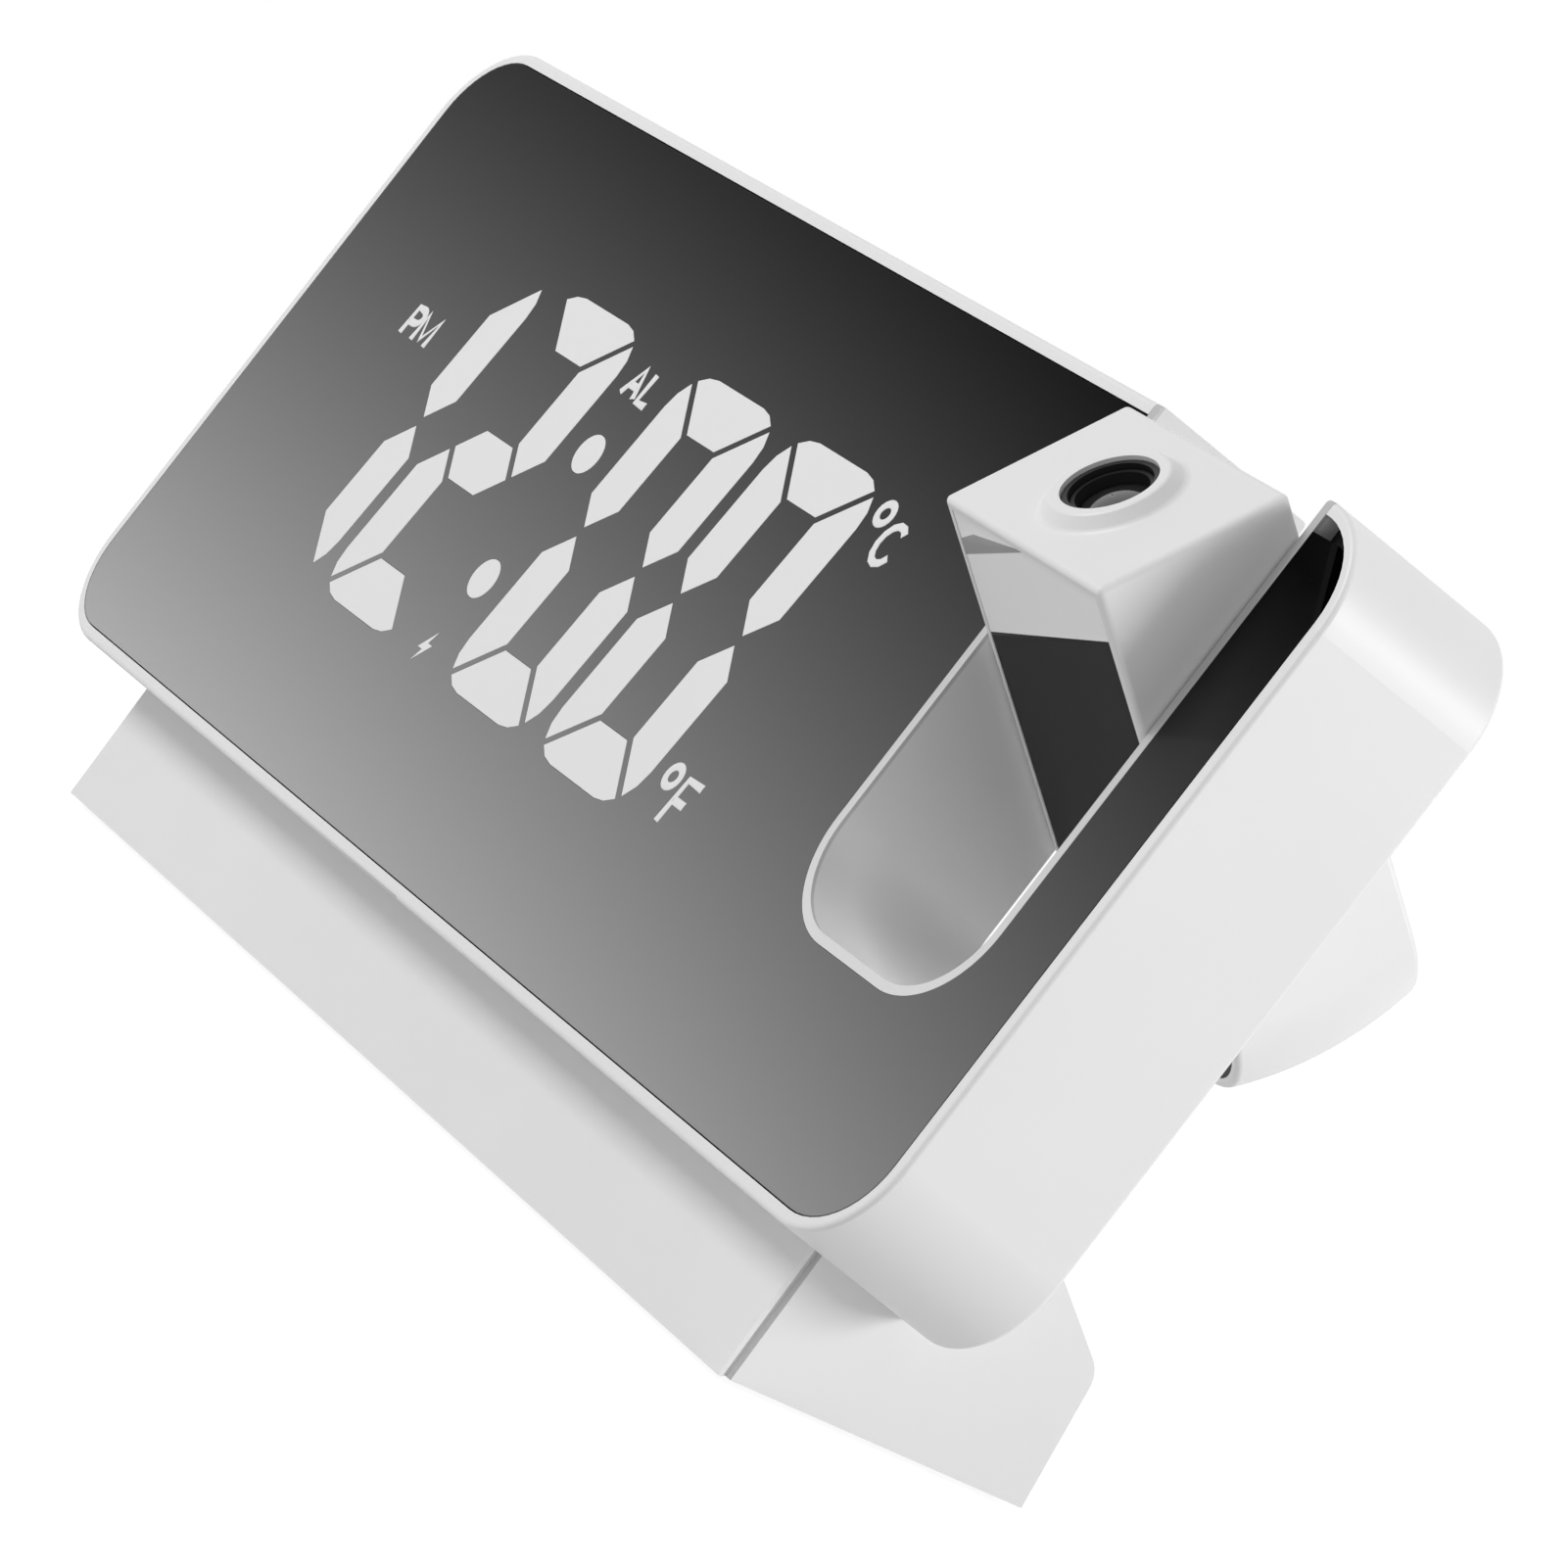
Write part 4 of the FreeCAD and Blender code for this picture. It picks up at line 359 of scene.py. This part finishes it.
SLOT_MATERIALS = {
    "white_shell": plastic("white_shell", (0.80, 0.80, 0.80), SHELL_ROUGHNESS),
    "button_plastic": plastic("button_plastic", (0.78, 0.78, 0.78), 0.40),
    "mirror_glass": mirror_glass(),
    "lit_segment": lit_segment(),
    "light_guide": plastic("light_guide", (0.80, 0.82, 0.84), 0.15),
    "black_plastic": plastic("black_plastic", (0.008, 0.008, 0.008), 0.45, 0.3, 0.1),
    "black_foam": plastic("black_foam", (0.01, 0.01, 0.01), 0.9, 0.2, 0.2),
    "rubber": plastic("rubber", (0.035, 0.035, 0.035), 0.8, 0.3, 0.1),
    "board": plastic("board", (0.02, 0.12, 0.05), 0.3, spread=0.1),
    "steel": metal("steel", (0.56, 0.56, 0.57), 0.3),
    "optical_glass": lens_glass(),
    "chip_body": plastic("chip_body", (0.02, 0.02, 0.02), 0.6, spread=0.1),
    "lamp": plastic("lamp", (0.85, 0.78, 0.35), 0.25),
    "cell_steel": metal("cell_steel", (0.62, 0.62, 0.63), 0.2),
}
NODE_MATERIALS = {
    "arm_mirror": arm_mirror_glass(),
    "arm_recess_frame": slot_liner_painted_shade(),
}


def dress_nodes():
    """Every solid takes the material of its slot in the record, or its own shade of it."""
    for subpart in frame["record"]["subparts"]:
        node = frame["nodes"][subpart["node"]]
        slot_material = SLOT_MATERIALS[subpart["material_slot"]]
        material = NODE_MATERIALS.get(subpart["node"], slot_material)
        node.data.materials.clear()
        node.data.materials.append(material)


# Printed marks: strokes in a letter's cell, whose sides are 1


def arc(middle, radii, start, end, steps=10):
    """Points on a stretch of an ellipse, with its ends in degrees."""
    turns = [math.radians(start + (end - start) * i / steps) for i in range(steps + 1)]
    return [
        (middle[0] + radii[0] * math.cos(turn), middle[1] + radii[1] * math.sin(turn))
        for turn in turns
    ]


LETTERS = {
    "P": [[(0, 0), (0, 1)] + arc((0.55, 0.74), (0.45, 0.26), 90, -90) + [(0, 0.48)]],
    "M": [[(0, 0), (0, 1), (0.5, 0.15), (1, 1), (1, 0)]],
    "A": [[(0, 0), (0.5, 1), (1, 0)], [(0.2, 0.36), (0.8, 0.36)]],
    "L": [[(0, 1), (0, 0), (1, 0)]],
    "C": [arc((0.55, 0.5), (0.55, 0.5), 45, 330)],
    "F": [[(0, 0), (0, 1), (1, 1)], [(0, 0.52), (0.8, 0.52)]],
    "ring": [arc((0.5, 0.5), (0.5, 0.5), 0, 360, 20)],
}

# Each mark's letters with the left, right, bottom and top of their cells, in millimetres

MARKS = {
    "mark_pm": [("P", -69.2, -67.0, 6.4, 9.7), ("M", -66.4, -63.3, 6.4, 9.7)],
    "mark_al": [("A", -25.2, -22.5, 13.5, 16.8), ("L", -21.6, -19.6, 13.5, 16.8)],
    "mark_celsius": [("ring", 26.2, 28.4, 16.1, 18.3), ("C", 29.2, 32.2, 12.8, 17.0)],
    "mark_fahrenheit": [("ring", 25.0, 27.2, -14.7, -12.5), ("F", 28.4, 31.2, -17.8, -13.0)],
}

# Corners of the charging mark, in millimetres

BOLT = [
    (-24.2, -15.9), (-26.0, -18.2), (-25.0, -18.2),
    (-25.6, -19.7), (-23.7, -17.4), (-24.7, -17.4),
]


def place_on_glass(item):
    """Lays an item's flat plane on the glass, with its z axis towards the viewer."""
    bpy.context.scene.collection.objects.link(item)
    item.location = GLASS_CENTRE
    item.rotation_euler = (math.radians(90.0) - LEAN, 0.0, 0.0)


def add_stroke(curve, points, closed, cell):
    """One stroke of a letter, from the letter's cell to its slanted place on the glass."""
    left, right, bottom, top = cell
    spline = curve.splines.new("POLY")
    spline.points.add(len(points) - 1)
    spline.use_cyclic_u = closed
    for point, (x, y) in zip(spline.points, points):
        height = bottom + y * (top - bottom)
        across = left + x * (right - left) + MARK_SLANT * (height - bottom)
        point.co = (across * MM, height * MM, 0.0, 1.0)


def make_stroked_mark(name, letters):
    """Flat rounded strokes that stand a little proud of the glass."""
    curve = bpy.data.curves.new(name, "CURVE")
    curve.dimensions = "3D"
    curve.bevel_depth = MARK_STROKE * MM
    curve.bevel_resolution = MARK_ROUNDING
    curve.use_fill_caps = True
    for letter, *cell in letters:
        closed = letter == "ring"
        for stroke in LETTERS[letter]:
            add_stroke(curve, stroke[:-1] if closed else stroke, closed, cell)
    curve.materials.append(SLOT_MATERIALS["lit_segment"])
    mark = bpy.data.objects.new(name, curve)
    mark.scale[2] = MARK_PROUD / MARK_STROKE
    place_on_glass(mark)
    return mark


def make_bolt():
    """The charging mark, a small flat zigzag."""
    front = [(x * MM, y * MM, MARK_PROUD * MM) for x, y in BOLT]
    back = [(x * MM, y * MM, -MARK_PROUD * MM) for x, y in BOLT]
    count = len(BOLT)
    faces = [tuple(range(count)), tuple(reversed(range(count, 2 * count)))]
    for i in range(count):
        following = (i + 1) % count
        faces.append((i, i + count, following + count, following))
    mesh = bpy.data.meshes.new("mark_bolt")
    mesh.from_pydata(front + back, [], faces)
    mesh.materials.append(SLOT_MATERIALS["lit_segment"])
    bolt = bpy.data.objects.new("mark_bolt", mesh)
    place_on_glass(bolt)
    return bolt


def make_marks():
    """The small generic marks on the glass, which ride on the case."""
    marks = [make_stroked_mark(name, letters) for name, letters in MARKS.items()]
    for mark in marks + [make_bolt()]:
        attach(mark, "case")


# Stage: floor, world, lamps and camera


def make_floor():
    """A pale floor that looks white and keeps the clock's shadow."""
    bpy.ops.mesh.primitive_plane_add(size=FLOOR_SIZE, location=(0.0, 0.0, 0.0))
    floor = bpy.context.object
    floor.name = "floor"
    material, tree, shader = new_material("floor", 0.9, 0.0)
    mottle(tree, shader, FLOOR_COLOR, 0.01, 2.0)
    glow = add(tree, "ShaderNodeEmission")
    glow.inputs["Strength"].default_value = FLOOR_GLOW
    mix = add(tree, "ShaderNodeMixShader")
    glow_share = math_node(tree, "MULTIPLY", seen(tree), FLOOR_GLOW_SHARE)
    tree.links.new(glow_share, mix.inputs["Fac"])
    tree.links.new(shader.outputs["BSDF"], mix.inputs[1])
    tree.links.new(glow.outputs["Emission"], mix.inputs[2])
    tree.links.new(mix.outputs["Shader"], tree.nodes["Material Output"].inputs["Surface"])
    floor.data.materials.append(material)


def make_world():
    """Even soft light, and plain white wherever the background is seen."""
    world = bpy.data.worlds.new("studio")
    world.use_nodes = True
    bpy.context.scene.world = world
    tree = world.node_tree
    background = tree.nodes["Background"]
    background.inputs["Color"].default_value = (1.0, 1.0, 1.0, 1.0)
    extra = math_node(tree, "MULTIPLY", seen(tree), 1.0 - WORLD_LEVEL)
    strength = math_node(tree, "ADD", extra, WORLD_LEVEL)
    tree.links.new(strength, background.inputs["Strength"])


def make_lamps():
    """Soft light from the right behind the clock and from its front left."""
    for name, (place, side, power) in LAMPS.items():
        light = bpy.data.lights.new(name, "AREA")
        light.shape = "SQUARE"
        light.size = side
        light.energy = power
        lamp = bpy.data.objects.new(name, light)
        lamp.location = place
        lamp.rotation_mode = "QUATERNION"
        lamp.rotation_quaternion = (CAMERA_AIM - place).to_track_quat("-Z", "Y")
        bpy.context.scene.collection.objects.link(lamp)


def make_camera():
    """The photograph's view, from the front right and rolled."""
    back = Vector((
        math.sin(CAMERA_AZIMUTH) * math.cos(CAMERA_ELEVATION),
        -math.cos(CAMERA_AZIMUTH) * math.cos(CAMERA_ELEVATION),
        math.sin(CAMERA_ELEVATION),
    ))
    data = bpy.data.cameras.new("camera")
    data.lens = CAMERA_LENS
    data.sensor_width = CAMERA_SENSOR
    camera = bpy.data.objects.new("camera", data)
    bpy.context.scene.collection.objects.link(camera)
    camera.location = CAMERA_AIM + back * CAMERA_DISTANCE
    camera.rotation_mode = "QUATERNION"
    roll = Quaternion((0.0, 0.0, 1.0), CAMERA_ROLL)
    camera.rotation_quaternion = (-back).to_track_quat("-Z", "Y") @ roll
    bpy.context.scene.camera = camera


dress_nodes()
make_marks()
make_floor()
make_world()
make_lamps()
make_camera()
bpy.context.scene.view_settings.view_transform = "Standard"
